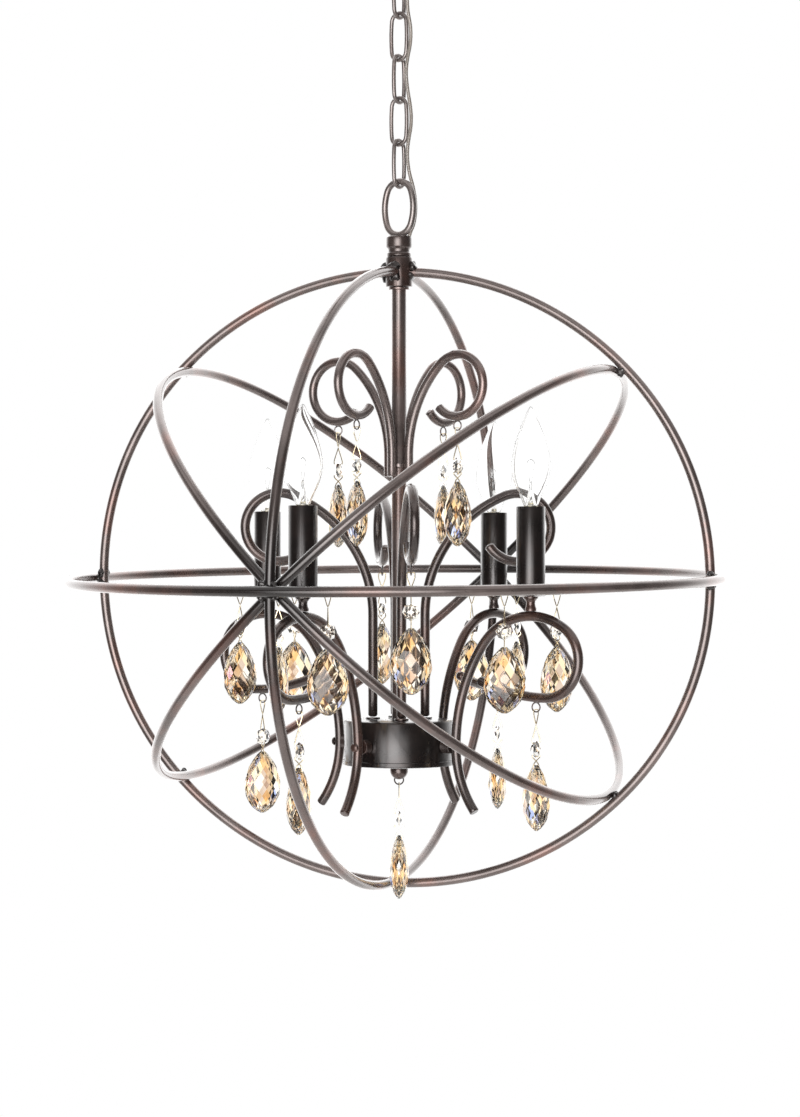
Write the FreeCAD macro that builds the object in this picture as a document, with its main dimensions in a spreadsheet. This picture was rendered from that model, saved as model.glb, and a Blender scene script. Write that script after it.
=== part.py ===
import FreeCAD, Part
import math
import os
import Sketcher

# An orb chandelier: a ball of five iron hoops round a stem with four candle arms,
# scrolls and crystal pendants, hung on a short chain from a ceiling canopy.
# Millimetres. The origin is the middle of the ceiling plate, and +Z points up.
# Heights called "level" are measured from the middle of the orb.

doc = FreeCAD.newDocument("orb_chandelier")
V = FreeCAD.Vector
sheet = doc.addObject("Spreadsheet::Sheet", "sizes")


class Size:
    """A number together with the formula over the sheet that gives it."""

    def __init__(self, value, text):
        self.value = value
        self.text = text

    def __add__(self, other):
        other = size(other)
        return Size(self.value + other.value, "(%s + %s)" % (self.text, other.text))

    def __sub__(self, other):
        other = size(other)
        return Size(self.value - other.value, "(%s - %s)" % (self.text, other.text))

    def __mul__(self, other):
        other = size(other)
        return Size(self.value * other.value, "(%s * %s)" % (self.text, other.text))

    def __truediv__(self, other):
        other = size(other)
        return Size(self.value / other.value, "(%s / %s)" % (self.text, other.text))

    def __neg__(self):
        return Size(-self.value, "(0 - %s)" % self.text)

    __radd__ = __add__

    def __rsub__(self, other):
        return size(other) - self

    def __rmul__(self, other):
        return size(other) * self


def size(number):
    if isinstance(number, Size):
        return number
    return Size(float(number), "(%.6f)" % number)


def cosine(degrees):
    degrees = size(degrees)
    return Size(math.cos(math.radians(degrees.value)), "cos(%s * 1deg)" % degrees.text)


def sine(degrees):
    degrees = size(degrees)
    return Size(math.sin(math.radians(degrees.value)), "sin(%s * 1deg)" % degrees.text)


# The driving sizes, each one cell of the sheet.
TABLE = [
    ("loopfall", 54.725, "ceiling down to the middle of the canopy loop"),
    ("gap", 0.3, "running clearance between separate pieces"),
    ("hoopbar", 8, "bar of the five hoops"),
    ("orbhalfwidth", 261, "upright hoops, middle of bar, sideways"),
    ("orbhalfheight", 251.5, "upright hoops, middle of bar, up and down"),
    ("nodeturn", 69.6, "turn of the axis through the front and rear crossings"),
    ("sideturn", -17, "turn of the side hoop"),
    ("diagonallean", 46.5, "slanted hoops, away from upright"),
    ("cagelean", 2.35, "the ball leans back on its collar"),
    ("cageroll", 0.62, "the ball leans to the left on its collar"),
    ("equatorroll", -1.1, "the level hoop's own tilt about the crossings"),
    ("collarwidth", 22, "weld collar at the top of the ball"),
    ("collarheight", 25, "height of that collar"),
    ("collarsink", 12.5, "collar's foot below the hoops' top"),
    ("loopbasewidth", 20, "base of the hanging loop"),
    ("loopbaseheight", 17, "height of that base"),
    ("loopwire", 5.5, "wire of both big loops"),
    ("loophalfwidth", 15.5, "big loops, middle of wire, sideways"),
    ("loophalfheight", 21.85, "hanging loop, middle of wire, up and down"),
    ("linkwire", 3.4, "wire of a chain link"),
    ("linkhalfwidth", 7.6, "chain link, middle of wire, sideways"),
    ("linkhalfheight", 19.2, "chain link, middle of wire, lengthways"),
    ("linkturn", -34, "turn of the even links"),
    ("shankwidth", 9.5, "threaded shank of the canopy loop"),
    ("canopywidth", 127, "ceiling canopy"),
    ("canopydepth", 25, "depth of the canopy"),
    ("sheetmetal", 1.2, "wall of the spun parts"),
    ("barlength", 104, "mounting bar"),
    ("barwidth", 18, "width of the mounting bar"),
    ("barthick", 2.5, "thickness of the mounting bar"),
    ("screwspacing", 88.9, "outlet box screws, centre to centre"),
    ("screwhole", 4.4, "outlet box screw holes"),
    ("stemwidth", 12, "stem tube"),
    ("stembore", 8, "bore of the stem"),
    ("stemring", 93, "level of the raised ring on the stem"),
    ("scrollbar", 7.5, "bar of the upper scrolls"),
    ("upperstart", 84, "level where the upper scrolls leave the stem"),
    ("uppersweep", 100, "long bend of the upper scrolls"),
    ("uppercurl", 25, "curl of the upper scrolls"),
    ("upperreach", 59, "middle of that curl from the axis"),
    ("upperlevel", 156, "level of that curl"),
    ("uppertip", 40, "tip of that curl from the axis"),
    ("middlebar", 8, "bar of the middle scrolls"),
    ("middlestart", 21.5, "foot of the middle scrolls from the axis"),
    ("middlesweep", 106.4, "long bend of the middle scrolls"),
    ("middlecurl", 28, "curl of the middle scrolls"),
    ("middlereach", 98, "middle of that curl from the axis"),
    ("middlelevel", 42.5, "level of that curl"),
    ("middletip", 74, "tip of that curl from the axis"),
    ("armbar", 8, "bar of the candle arms"),
    ("armwaist", 57.5, "arm nearest the axis"),
    ("waistlevel", -135, "level of the arm's waist"),
    ("armfoot", -187, "level of the arm's lower end"),
    ("footsweep", 82.3, "bend of the lower end"),
    ("armcrown", 57.3, "bend over the top of the arm"),
    ("armtop", -29.3, "level of the middle of the bar at the top"),
    ("candlereach", 130, "candle from the axis"),
    ("armcurl", 30, "curl of the arm"),
    ("curlaside", 14.5, "middle of that curl, outward of the candle"),
    ("tailsweep", 172.6, "bend of the inward tail"),
    ("hookinset", 9.5, "eyelet under an arm, inward of the curl's middle"),
    ("tailrun", 64.5, "tip of the tail, inward of the curl's middle"),
    ("hubwidth", 90, "drum at the foot of the stem"),
    ("hubtop", -115, "level of the drum's top"),
    ("hubfoot", -152, "level of the drum's foot"),
    ("hublip", 92, "lip of the drum's cover"),
    ("bosswidth", 12, "boss between the drum and an arm"),
    ("screwwidth", 4, "arm screw"),
    ("ballwidth", 15, "finial ball"),
    ("necktop", -14, "level of the seat of a drip pan"),
    ("neckwidth", 12, "neck under a drip pan"),
    ("panwidth", 52, "drip pan"),
    ("panholes", 21, "pendant holes from the middle of the pan"),
    ("sleevewidth", 22.8, "candle sleeve"),
    ("sleevefoot", -10.8, "level of the sleeve's foot"),
    ("sleevetop", 57, "level of the sleeve's top"),
    ("socketwidth", 18, "lamp socket"),
    ("bulbbase", 11.8, "screw base of a bulb"),
    ("bulbwidth", 31.5, "glass of a bulb"),
    ("bulbtip", 136, "level of a bulb's tip"),
    ("glasswall", 1, "wall of a bulb"),
    ("eyeletwidth", 8.6, "eyelet ring, outside"),
    ("eyeletwire", 1.2, "wire of an eyelet"),
    ("pinwire", 1, "wire of the pendant pins"),
    ("pinwidth", 7.2, "pin loop, outside"),
    ("beadwidth", 14, "octagon bead"),
    ("beadthick", 6.5, "thickness of the bead"),
    ("beadlevel", 29, "bead below its hook"),
    ("droptop", 41.5, "top of the crystal drop below its hook"),
    ("droplength", 52, "length of the crystal drop"),
    ("dropwidth", 33, "width of the crystal drop"),
    ("dropthick", 16, "thickness of the crystal drop"),
    ("leadwidth", 3, "clear supply lead"),
]


class Named:
    pass


S = Named()
for row, (alias, number, meaning) in enumerate(TABLE, 1):
    sheet.set("A%d" % row, str(number))
    sheet.setAlias("A%d" % row, alias)
    sheet.set("B%d" % row, meaning)
    setattr(S, alias, Size(float(number), "sizes." + alias))
doc.recompute()

BAR_SIDES = 8
LINKS = 5
DIRECTIONS = {"front_right": 53, "front_left": -35, "rear_left": -121, "rear_right": 141}
MIDDLE_DIRECTIONS = {"front": 5.5, "right": 95.5, "rear": 188.5, "left": 275.5}
PAN_TURN = {"front_right": 28, "front_left": -35, "rear_left": 20, "rear_right": -39}
parts = {}


# Sketch and body helpers.
def new_body(name):
    return doc.addObject("PartDesign::Body", name)


def new_sketch(body, role, name, offset=None):
    plane = [item for item in body.Origin.OriginFeatures if item.Role == role][0]
    sketch = body.newObject("Sketcher::SketchObject", name)
    sketch.AttachmentSupport = [(plane, "")]
    sketch.MapMode = "FlatFace"
    if offset is not None:
        sketch.AttachmentOffset = FreeCAD.Placement(V(0, 0, offset.value), FreeCAD.Rotation())
        sketch.setExpression("AttachmentOffset.Base.z", offset.text)
    return sketch


def bind(sketch, constraint, target):
    index = sketch.addConstraint(constraint)
    sketch.setExpression("Constraints[%d]" % index, target.text)


def tie(sketch, item, end, x=None, y=None):
    """Holds one point of a sketch at its distances from the sketch's origin."""
    for kind, axis, target in (("DistanceX", -2, x), ("DistanceY", -1, y)):
        if target is None:
            continue
        target = size(target)
        if abs(target.value) < 1e-9:
            sketch.addConstraint(Sketcher.Constraint("PointOnObject", item, end, axis))
        elif target.value > 0:
            bind(sketch, Sketcher.Constraint(kind, -1, 1, item, end, target.value), target)
        else:
            bind(sketch, Sketcher.Constraint(kind, item, end, -1, 1, -target.value), -target)


def radius(sketch, item, target):
    bind(sketch, Sketcher.Constraint("Radius", item, target.value), target)


def outline(sketch, points):
    """Draws a closed outline of straight sides through the given points."""
    points = [(size(x), size(y)) for x, y in points]
    first = sketch.GeometryCount
    for k, (x, y) in enumerate(points):
        x2, y2 = points[(k + 1) % len(points)]
        sketch.addGeometry(Part.LineSegment(V(x.value, y.value, 0), V(x2.value, y2.value, 0)))
    for k, (x, y) in enumerate(points):
        before = first + (k - 1) % len(points)
        sketch.addConstraint(Sketcher.Constraint("Coincident", before, 2, first + k, 1))
        tie(sketch, first + k, 1, x, y)


def mirrored(points):
    """Adds the left half of an outline to the points of its right half."""
    left = [(-size(x), y) for x, y in reversed(points) if abs(size(x).value) > 1e-9]
    return points + left


def ring_points(x, y, half, sides=BAR_SIDES):
    turns = [360.0 / sides * (k + 0.5) for k in range(sides)]
    return [(x + half * cosine(turn), y + half * sine(turn)) for turn in turns]


def arc(sketch, centre, rad, start, end):
    circle = Part.Circle(V(centre[0], centre[1], 0), V(0, 0, 1), rad)
    return sketch.addGeometry(Part.ArcOfCircle(circle, start, end))


def pipe(body, path, edges, section):
    feature = body.newObject("PartDesign::AdditivePipe", "bar")
    feature.Profile = section
    feature.Spine = (path, ["Edge%d" % (k + 1) for k in range(edges)])
    return feature


def revolved(name, points):
    body = new_body(name)
    sketch = new_sketch(body, "XZ_Plane", "profile")
    outline(sketch, points)
    turn = body.newObject("PartDesign::Revolution", "turned")
    turn.Profile = sketch
    turn.ReferenceAxis = (sketch, ["V_Axis"])
    turn.Angle = 360
    return body


def pad(body, sketch, thickness):
    feature = body.newObject("PartDesign::Pad", "plate")
    feature.Profile = sketch
    feature.SideType = "Symmetric"
    feature.setExpression("Length", thickness.text)
    return feature


def bore(body, role, y, z, width):
    """Drills one straight hole right through a body, square to a plane."""
    sketch = new_sketch(body, role, "hole")
    sketch.addGeometry(Part.Circle(V(y.value, z.value, 0), V(0, 0, 1), width.value / 2))
    tie(sketch, 0, 3, y, z)
    radius(sketch, 0, width / 2)
    feature = body.newObject("PartDesign::Pocket", "hole")
    feature.Profile = sketch
    feature.SideType = "Symmetric"
    feature.Type = "ThroughAll"
    return feature


def place(item, x=0, y=0, z=0, turn=0):
    """Places a piece at x, y, z, turned about the vertical."""
    x, y, z, turn = size(x), size(y), size(z), size(turn)
    item.Placement = FreeCAD.Placement(V(x.value, y.value, z.value),
                                       FreeCAD.Rotation(V(0, 0, 1), turn.value))
    item.setExpression("Placement.Base.x", x.text)
    item.setExpression("Placement.Base.y", y.text)
    item.setExpression("Placement.Base.z", z.text)
    item.setExpression("Placement.Rotation.Angle", "%s * 1deg" % turn.text)
    return item


def copy_of(sources, name):
    item = doc.addObject("Part::Compound", name)
    item.Links = sources if isinstance(sources, list) else [sources]
    return item


def fused(name, pieces):
    item = doc.addObject("Part::MultiFuse", name)
    item.Shapes = pieces
    return item


def cut(name, base, tool):
    item = doc.addObject("Part::Cut", name)
    item.Base = base
    item.Tool = tool
    return item


def cylinder(name, width, length, position, direction):
    """A round tool, centred on a position, that runs along a direction."""
    item = doc.addObject("Part::Cylinder", name)
    item.setExpression("Radius", (width / 2).text)
    item.Height = length
    spin = FreeCAD.Rotation(V(0, 0, 1), direction)
    item.Placement = FreeCAD.Placement(position - spin.multVec(V(0, 0, length / 2)), spin)
    return item


def keep(item, name):
    item.Label = name
    parts[name] = item
    return item


def outward(compass):
    """The turn of a piece drawn towards +X that is to face a compass direction."""
    return compass - 90


def at_reach(item, reach, compass, z, turn=None):
    """Places a piece at a reach from the axis, in a compass direction from the front."""
    direction = outward(compass)
    return place(item, reach * cosine(direction), reach * sine(direction), z,
                 direction if turn is None else turn)



# Canopy, mounting bar, canopy loop and its two nuts.
wall = S.sheetmetal
rim = S.canopywidth / 2
depth = S.canopydepth
shank = S.shankwidth / 2
hole = shank + S.gap
canopy = revolved("canopy_body", [
    (rim, 0), (rim, -0.12 * depth), (rim - 4, -0.32 * depth), (rim - 16, -0.62 * depth),
    (rim - 34, -0.86 * depth), (shank + 9, -depth), (hole, -depth), (hole, wall - depth),
    (shank + 8.8, wall - depth), (rim - 34.4, wall - 0.86 * depth),
    (rim - 16.7, wall - 0.62 * depth), (rim - 5.1, 0.9 * wall - 0.32 * depth),
    (rim - wall, -0.1 * depth), (rim - wall, 0)])
keep(canopy, "canopy")

plate = new_body("mounting_bar_body")
plate_sketch = new_sketch(plate, "XY_Plane", "outline")
outline(plate_sketch, [(S.barlength / 2, S.barwidth / 2), (-S.barlength / 2, S.barwidth / 2),
                       (-S.barlength / 2, -S.barwidth / 2), (S.barlength / 2, -S.barwidth / 2)])
plate_pad = plate.newObject("PartDesign::Pad", "plate")
plate_pad.Profile = plate_sketch
plate_pad.Reversed = True
plate_pad.setExpression("Length", S.barthick.text)
bore(plate, "XY_Plane", S.screwspacing / 2, size(0), S.screwhole)
bore(plate, "XY_Plane", -S.screwspacing / 2, size(0), S.screwhole)
bore(plate, "XY_Plane", size(0), size(0), hole * 2)
keep(plate, "mounting_bar")


def oval(name, half_wide, half_high, top_bend, wire):
    """A closed bar oval in the XZ plane: half of it swept from top to foot, then mirrored."""
    body = new_body(name)
    path = new_sketch(body, "XZ_Plane", "path")
    w, h, t = half_wide.value, half_high.value, top_bend.value
    side = ((h - t) ** 2 + w * w - t * t) / (2 * (w - t))
    sign = 1 if side > t else -1
    angle = math.atan2(sign * (h - t), sign * (side - w))
    quarter = math.pi / 2
    arc(path, (0, h - t), t, angle, quarter)
    arc(path, (w - side, 0), side, -angle, angle)
    arc(path, (0, t - h), t, -quarter, -angle)
    path.addConstraint(Sketcher.Constraint("Tangent", 0, 1, 1, 2))
    path.addConstraint(Sketcher.Constraint("Tangent", 1, 1, 2, 2))
    tie(path, 0, 3, size(0), half_high - top_bend)
    tie(path, 2, 3, size(0), top_bend - half_high)
    tie(path, 0, 2, size(0), None)
    tie(path, 2, 1, size(0), None)
    radius(path, 0, top_bend)
    radius(path, 2, top_bend)
    path.addGeometry(Part.Point(V(w, 0, 0)))
    path.toggleConstruction(3)
    path.addConstraint(Sketcher.Constraint("PointOnObject", 3, 1, 1))
    tie(path, 3, 1, half_wide, size(0))
    section = new_sketch(body, "YZ_Plane", "section")
    outline(section, ring_points(size(0), half_high, wire / 2))
    half = pipe(body, path, 3, section)
    plane = [item for item in body.Origin.OriginFeatures if item.Role == "YZ_Plane"][0]
    doc.recompute()
    twin = body.newObject("PartDesign::Mirrored", "twin")
    twin.Originals = [half]
    twin.MirrorPlane = (plane, [""])
    body.Tip = twin
    return body


# The canopy loop on its threaded shank, with a collar nut and a lock nut.
loop_bend = S.loophalfwidth * 0.85
canopy_middle = -S.loopfall
canopy_half = S.loophalfwidth + 1
canopy_oval = oval("canopy_oval", S.loophalfwidth, canopy_half, loop_bend, S.loopwire)
place(canopy_oval, 0, 0, canopy_middle, S.linkturn)
shank_foot = canopy_middle + canopy_half
loop_shank = revolved("loop_shank", [
    (0, -S.gap), (shank, -S.gap), (shank, shank_foot + 3.5), (shank + 2.6, shank_foot + 2.5),
    (shank + 2.6, shank_foot - 1), (0, shank_foot - 1)])
keep(fused("canopy_loop_body", [canopy_oval, loop_shank]), "canopy_loop")

nut_bore = shank + S.gap / 2
nut = shank + 6.2
collar_nut = revolved("collar_nut", [
    (nut_bore, -depth - S.gap), (nut, -depth - S.gap), (nut, -depth - 3), (nut - 1.4, -depth - 8),
    (nut_bore, -depth - 8)])
lock_nut = new_body("lock_nut")
nut_sketch = new_sketch(lock_nut, "XY_Plane", "outline", -depth / 2)
outline(nut_sketch, ring_points(size(0), size(0), shank + 4.4, 6))
outline(nut_sketch, ring_points(size(0), size(0), nut_bore * 1.04, 12))
pad(lock_nut, nut_sketch, size(4))
place(lock_nut, 0, 0, -S.barthick - S.gap - 2 + depth / 2)
keep(copy_of([collar_nut, lock_nut], "loop_nuts_group"), "loop_nuts")

# The chain, from the canopy loop downwards. Each link clears its neighbours' wires by the
# running clearance.
link_step = 2 * S.linkhalfheight - S.linkwire - S.gap
link_hang = S.linkhalfheight - (S.loopwire + S.linkwire) / 2 - S.gap
last_link = canopy_middle - canopy_half - link_hang
first_link = last_link - (LINKS - 1) * link_step
link_master = oval("link_master", S.linkhalfwidth, S.linkhalfheight, S.linkhalfwidth * 0.8,
                   S.linkwire)
for number in range(1, LINKS + 1):
    link = copy_of(link_master, "link_copy_%d" % number)
    turn = S.linkturn + (90 if number % 2 else 0)
    place(link, 0, 0, first_link + (number - 1) * link_step, turn)
    keep(link, "chain_link_%d" % number)

# The hanging loop stands on the collar, and the middle of the orb follows from them.
loop_middle = first_link - link_hang - S.loophalfheight
collar_top = loop_middle - S.loophalfheight - S.loopwire / 4 - S.loopbaseheight
centre = collar_top - S.collarheight + S.collarsink - S.orbhalfheight
hanging_oval = oval("hanging_oval", S.loophalfwidth, S.loophalfheight, loop_bend, S.loopwire)
place(hanging_oval, 0, 0, loop_middle, S.linkturn)
base = S.loopbasewidth / 2
loop_base = revolved("loop_base", [
    (0, 0), (base, 0), (base, 3), (base - 1.2, 3.6), (base - 1.2, 6), (base + 0.6, 7.5),
    (base + 0.6, S.loopbaseheight - 2), (base - 0.8, S.loopbaseheight), (0, S.loopbaseheight)])
place(loop_base, 0, 0, collar_top)
keep(fused("hanging_loop_body", [hanging_oval, loop_base]), "hanging_loop")

# The weld collar, the stem and the drum at its foot.
collar = S.collarwidth / 2
stem = S.stemwidth / 2
stem_bore = S.stembore / 2
collar_foot = S.orbhalfheight - S.collarsink
collar_head = collar_foot + S.collarheight - S.gap
top_collar = revolved("top_collar_body", [
    (stem_bore, collar_foot), (collar - 1, collar_foot), (collar, collar_foot + 1),
    (collar, collar_head - 1), (collar - 1, collar_head), (stem_bore, collar_head)])
keep(place(top_collar, 0, 0, centre), "top_collar")
stem_top = collar_foot - S.gap
ring = stem + 0.9
stem_body = revolved("stem_body", [
    (stem_bore, S.hubfoot + 6), (stem, S.hubfoot + 6), (stem, S.stemring - 2.2),
    (ring, S.stemring - 1.6), (ring, S.stemring + 1.6), (stem, S.stemring + 2.2),
    (stem, stem_top - 2), (stem + 2.5, stem_top - 2), (stem + 2.5, stem_top), (stem_bore, stem_top)])
keep(place(stem_body, 0, 0, centre), "stem")

hub = S.hubwidth / 2
cup = revolved("hub_cup_body", [
    (stem + S.gap, S.hubtop), (hub - 2, S.hubtop), (hub, S.hubtop - 2), (hub, S.hubfoot + 4),
    (hub - wall, S.hubfoot + 4), (hub - wall, S.hubtop - 2.6), (hub - 2.6, S.hubtop - wall),
    (stem + S.gap, S.hubtop - wall)])
cup_holes = []
for k, compass in enumerate(DIRECTIONS.values()):
    direction = outward(compass)
    turn = FreeCAD.Rotation(V(0, 0, 1), direction)
    spot = turn.multVec(V(S.hubwidth.value / 2, 0, S.waistlevel.value))
    cup_holes.append(cylinder("cup_hole_%d" % k, S.screwwidth + 2 * S.gap, 12, spot,
                              turn.multVec(V(1, 0, 0))))
hub_cup = cut("hub_cup_cut", cup, copy_of(cup_holes, "cup_holes"))
keep(place(hub_cup, 0, 0, centre), "hub_cup")

lip = S.hublip / 2
ball = S.ballwidth / 2
cover = revolved("hub_cover_body", [
    (3.4, S.hubfoot), (lip - 0.8, S.hubfoot), (lip, S.hubfoot + 0.8), (lip, S.hubfoot + 4.2),
    (hub + S.gap, S.hubfoot + 4.2), (hub + S.gap, S.hubfoot + 4 - S.gap),
    (hub - wall - 2, S.hubfoot + 4 - S.gap), (hub - wall - 2, S.hubfoot + wall + 0.4),
    (3.4, S.hubfoot + wall + 0.4)])
keep(place(cover, 0, 0, centre), "hub_cover")

eyelet_half = S.eyeletwidth / 2
hook_below_ring = eyelet_half - S.eyeletwire / 2


def eyelet(body, x, z):
    """A small ring welded on in the plane of its scroll."""
    sketch = new_sketch(body, "XZ_Plane", "eyelet")
    outline(sketch, ring_points(x, z, eyelet_half))
    outline(sketch, ring_points(x, z, eyelet_half - S.eyeletwire))
    return pad(body, sketch, S.eyeletwire)


# The finial ball: a turned ball on a threaded stub, with its eyelet.
ball_level = S.hubfoot - S.gap - 0.62 * ball
ball_points = [(0, S.hubfoot + 10), (3, S.hubfoot + 10), (3, S.hubfoot - S.gap)]
for degrees in (38, 12, -14, -40, -66):
    ball_points.append((ball * cosine(degrees), ball_level + ball * sine(degrees)))
ball_points.append((0, ball_level - ball))
finial = revolved("finial_body", ball_points)
finial_ring = ball_level - ball - 0.05 * eyelet_half
eyelet(finial, size(0), finial_ring)
keep(place(finial, 0, 0, centre), "finial_ball")


def scroll(name, wire, start_x, start_z, sweep, curl, curl_x, curl_z, tip_x, ring_on):
    """A rod that rises straight, sweeps outward and closes in a curl, in the XZ plane."""
    body = new_body(name)
    path = new_sketch(body, "XZ_Plane", "path")
    x0, r1, r2 = start_x.value, sweep.value, curl.value
    xc, zc = curl_x.value, curl_z.value
    z0 = zc - math.sqrt((r1 - r2) ** 2 - (x0 + r1 - xc) ** 2)
    meet = math.atan2(zc - z0, xc - x0 - r1)
    tip = -math.pi + math.acos((xc - tip_x.value) / r2)
    path.addGeometry(Part.LineSegment(V(x0, start_z.value, 0), V(x0, z0, 0)))
    arc(path, (x0 + r1, z0), r1, meet, math.pi)
    arc(path, (xc, zc), r2, tip, meet)
    path.addConstraint(Sketcher.Constraint("Tangent", 0, 2, 1, 2))
    path.addConstraint(Sketcher.Constraint("Tangent", 1, 1, 2, 2))
    path.addConstraint(Sketcher.Constraint("Vertical", 0))
    tie(path, 0, 1, start_x, start_z)
    radius(path, 1, sweep)
    radius(path, 2, curl)
    tie(path, 2, 3, curl_x, curl_z)
    tie(path, 2, 1, tip_x, None)
    section = new_sketch(body, "XY_Plane", "section", start_z)
    outline(section, ring_points(start_x, size(0), wire / 2))
    pipe(body, path, 3, section)
    if ring_on:
        eyelet(body, curl_x, curl_z - curl - wire / 2 - 0.85 * eyelet_half)
    return body


# Upper scrolls, welded to the stem, and middle scrolls, bolted on the drum.
upper_start = stem + S.scrollbar / 2 + S.gap
upper_group = []
for name, compass in DIRECTIONS.items():
    upper = scroll("upper_" + name, S.scrollbar, upper_start, S.upperstart, S.uppersweep,
                   S.uppercurl, S.upperreach, S.upperlevel, S.uppertip, True)
    upper_group.append(place(upper, 0, 0, centre, outward(compass)))
keep(copy_of(upper_group, "upper_group"), "upper_scrolls")
for name, compass in MIDDLE_DIRECTIONS.items():
    middle = scroll("middle_" + name, S.middlebar, S.middlestart, S.hubtop + S.gap + 2,
                    S.middlesweep, S.middlecurl, S.middlereach, S.middlelevel, S.middletip,
                    name in ("front", "rear"))
    keep(place(middle, 0, 0, centre, outward(compass)), "middle_scroll_" + name)


# An arm's curl, eyelet and tail follow the candle that the arm carries.
curl_reach = S.candlereach + S.curlaside
eyelet_reach = curl_reach - S.hookinset
tail_tip = curl_reach - S.tailrun


def arm(name):
    """A candle arm: five tangent bends, with a hole for its screw at the waist."""
    body = new_body(name)
    path = new_sketch(body, "XZ_Plane", "path")
    xw, zw = S.armwaist.value, S.waistlevel.value
    foot, crown, curl = S.footsweep.value, S.armcrown.value, S.armcurl.value
    tail = S.tailsweep.value
    drop = math.asin((zw - S.armfoot.value) / foot)
    x3, z3 = S.candlereach.value, S.armtop.value - crown
    across, rise = x3 - xw, z3 - zw
    rear = (across ** 2 + rise ** 2 - crown ** 2) / (2 * (across - crown))
    meet = math.atan2(rise, x3 - xw - rear)
    x4 = curl_reach.value
    z4 = z3 + math.sqrt((crown - curl) ** 2 - (x4 - x3) ** 2)
    turn = math.atan2(z4 - z3, x4 - x3)
    down = -math.pi / 2
    back = math.asin((x4 - tail_tip.value) / tail)
    arc(path, (xw + foot, zw), foot, math.pi, math.pi + drop)
    arc(path, (xw + rear, zw), rear, meet, math.pi)
    arc(path, (x3, z3), crown, turn, meet)
    arc(path, (x4, z4), curl, down, turn)
    arc(path, (x4, z4 - curl + tail), tail, down - back, down)
    path.addConstraint(Sketcher.Constraint("Tangent", 0, 1, 1, 2))
    for k in (1, 2, 3):
        path.addConstraint(Sketcher.Constraint("Tangent", k, 1, k + 1, 2))
    tie(path, 0, 1, S.armwaist, S.waistlevel)
    tie(path, 0, 3, None, S.waistlevel)
    tie(path, 0, 2, None, S.armfoot)
    radius(path, 0, S.footsweep)
    tie(path, 2, 3, S.candlereach, S.armtop - S.armcrown)
    radius(path, 2, S.armcrown)
    radius(path, 3, S.armcurl)
    tie(path, 3, 3, curl_reach, None)
    tie(path, 4, 3, curl_reach, None)
    radius(path, 4, S.tailsweep)
    tie(path, 4, 1, tail_tip, None)
    section = new_sketch(body, "XY_Plane", "section", S.waistlevel)
    outline(section, ring_points(S.armwaist, size(0), S.armbar / 2))
    pipe(body, path, 5, section)
    return body, z4


def arm_curl_level():
    """Level of the middle of an arm's curl, by the tangency of its bends."""
    inside = S.armcrown - S.armcurl
    rise = inside * inside - S.curlaside * S.curlaside
    return S.armtop - S.armcrown + Size(math.sqrt(rise.value), "sqrt(%s)" % rise.text)


def tail_level(reach):
    """Level of the middle of an arm's tail at a reach from the axis."""
    sideways = curl_reach - reach
    rise = S.tailsweep * S.tailsweep - sideways * sideways
    root = Size(math.sqrt(rise.value), "sqrt(%s)" % rise.text)
    return arm_curl_level() - S.armcurl + S.tailsweep - root


arm_ring = tail_level(eyelet_reach) - S.armbar / 2 - 0.85 * eyelet_half
for name, compass in DIRECTIONS.items():
    arm_body, level = arm("arm_" + name)
    eyelet(arm_body, eyelet_reach, arm_ring)
    bore(arm_body, "YZ_Plane", size(0), S.waistlevel, S.screwwidth + 2 * S.gap)
    keep(place(arm_body, 0, 0, centre, outward(compass)), "main_arm_" + name)

# A boss and a screw hold each arm to the drum; a nut clamps each middle scroll.
boss = revolved("boss_master", [
    (S.screwwidth / 2 + S.gap, hub + 0.2), (S.bosswidth / 2, hub + 0.2),
    (S.bosswidth / 2, S.armwaist - S.armbar / 2 - S.gap / 3),
    (S.screwwidth / 2 + S.gap, S.armwaist - S.armbar / 2 - S.gap / 3)])
screw_out = S.armwaist + S.armbar / 2
screw = revolved("screw_master", [
    (0, hub - 4), (S.screwwidth / 2, hub - 4), (S.screwwidth / 2, screw_out + 0.1),
    (3.6, screw_out + 0.1), (3.4, screw_out + 1.8), (2, screw_out + 2.6), (0, screw_out + 2.6)])
washer = revolved("washer_master", [
    (0, 0), (S.middlebar / 2 + 2, 0), (S.middlebar / 2 + 2, 1.6), (0, 1.6)])


def lie_down(item, compass):
    """Turns a piece drawn along +Z so that it points outward at the waist of an arm."""
    direction = outward(compass)
    spin = FreeCAD.Rotation(V(0, 0, 1), direction) * FreeCAD.Rotation(V(0, 1, 0), 90)
    item.Placement = FreeCAD.Placement(V(0, 0, centre.value + S.waistlevel.value), spin)
    item.setExpression("Placement.Base.z", (centre + S.waistlevel).text)
    return item


bosses = []
fasteners = []
for name, compass in DIRECTIONS.items():
    bosses.append(lie_down(copy_of(boss, "boss_" + name), compass))
    fasteners.append(lie_down(copy_of(screw, "screw_" + name), compass))
for name, compass in MIDDLE_DIRECTIONS.items():
    seat = copy_of(washer, "washer_" + name)
    fasteners.append(at_reach(seat, S.middlestart, compass, centre + S.hubtop + S.gap))
keep(copy_of(bosses, "boss_group"), "arm_bosses")
keep(copy_of(fasteners, "fastener_group"), "hub_fasteners")

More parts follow.
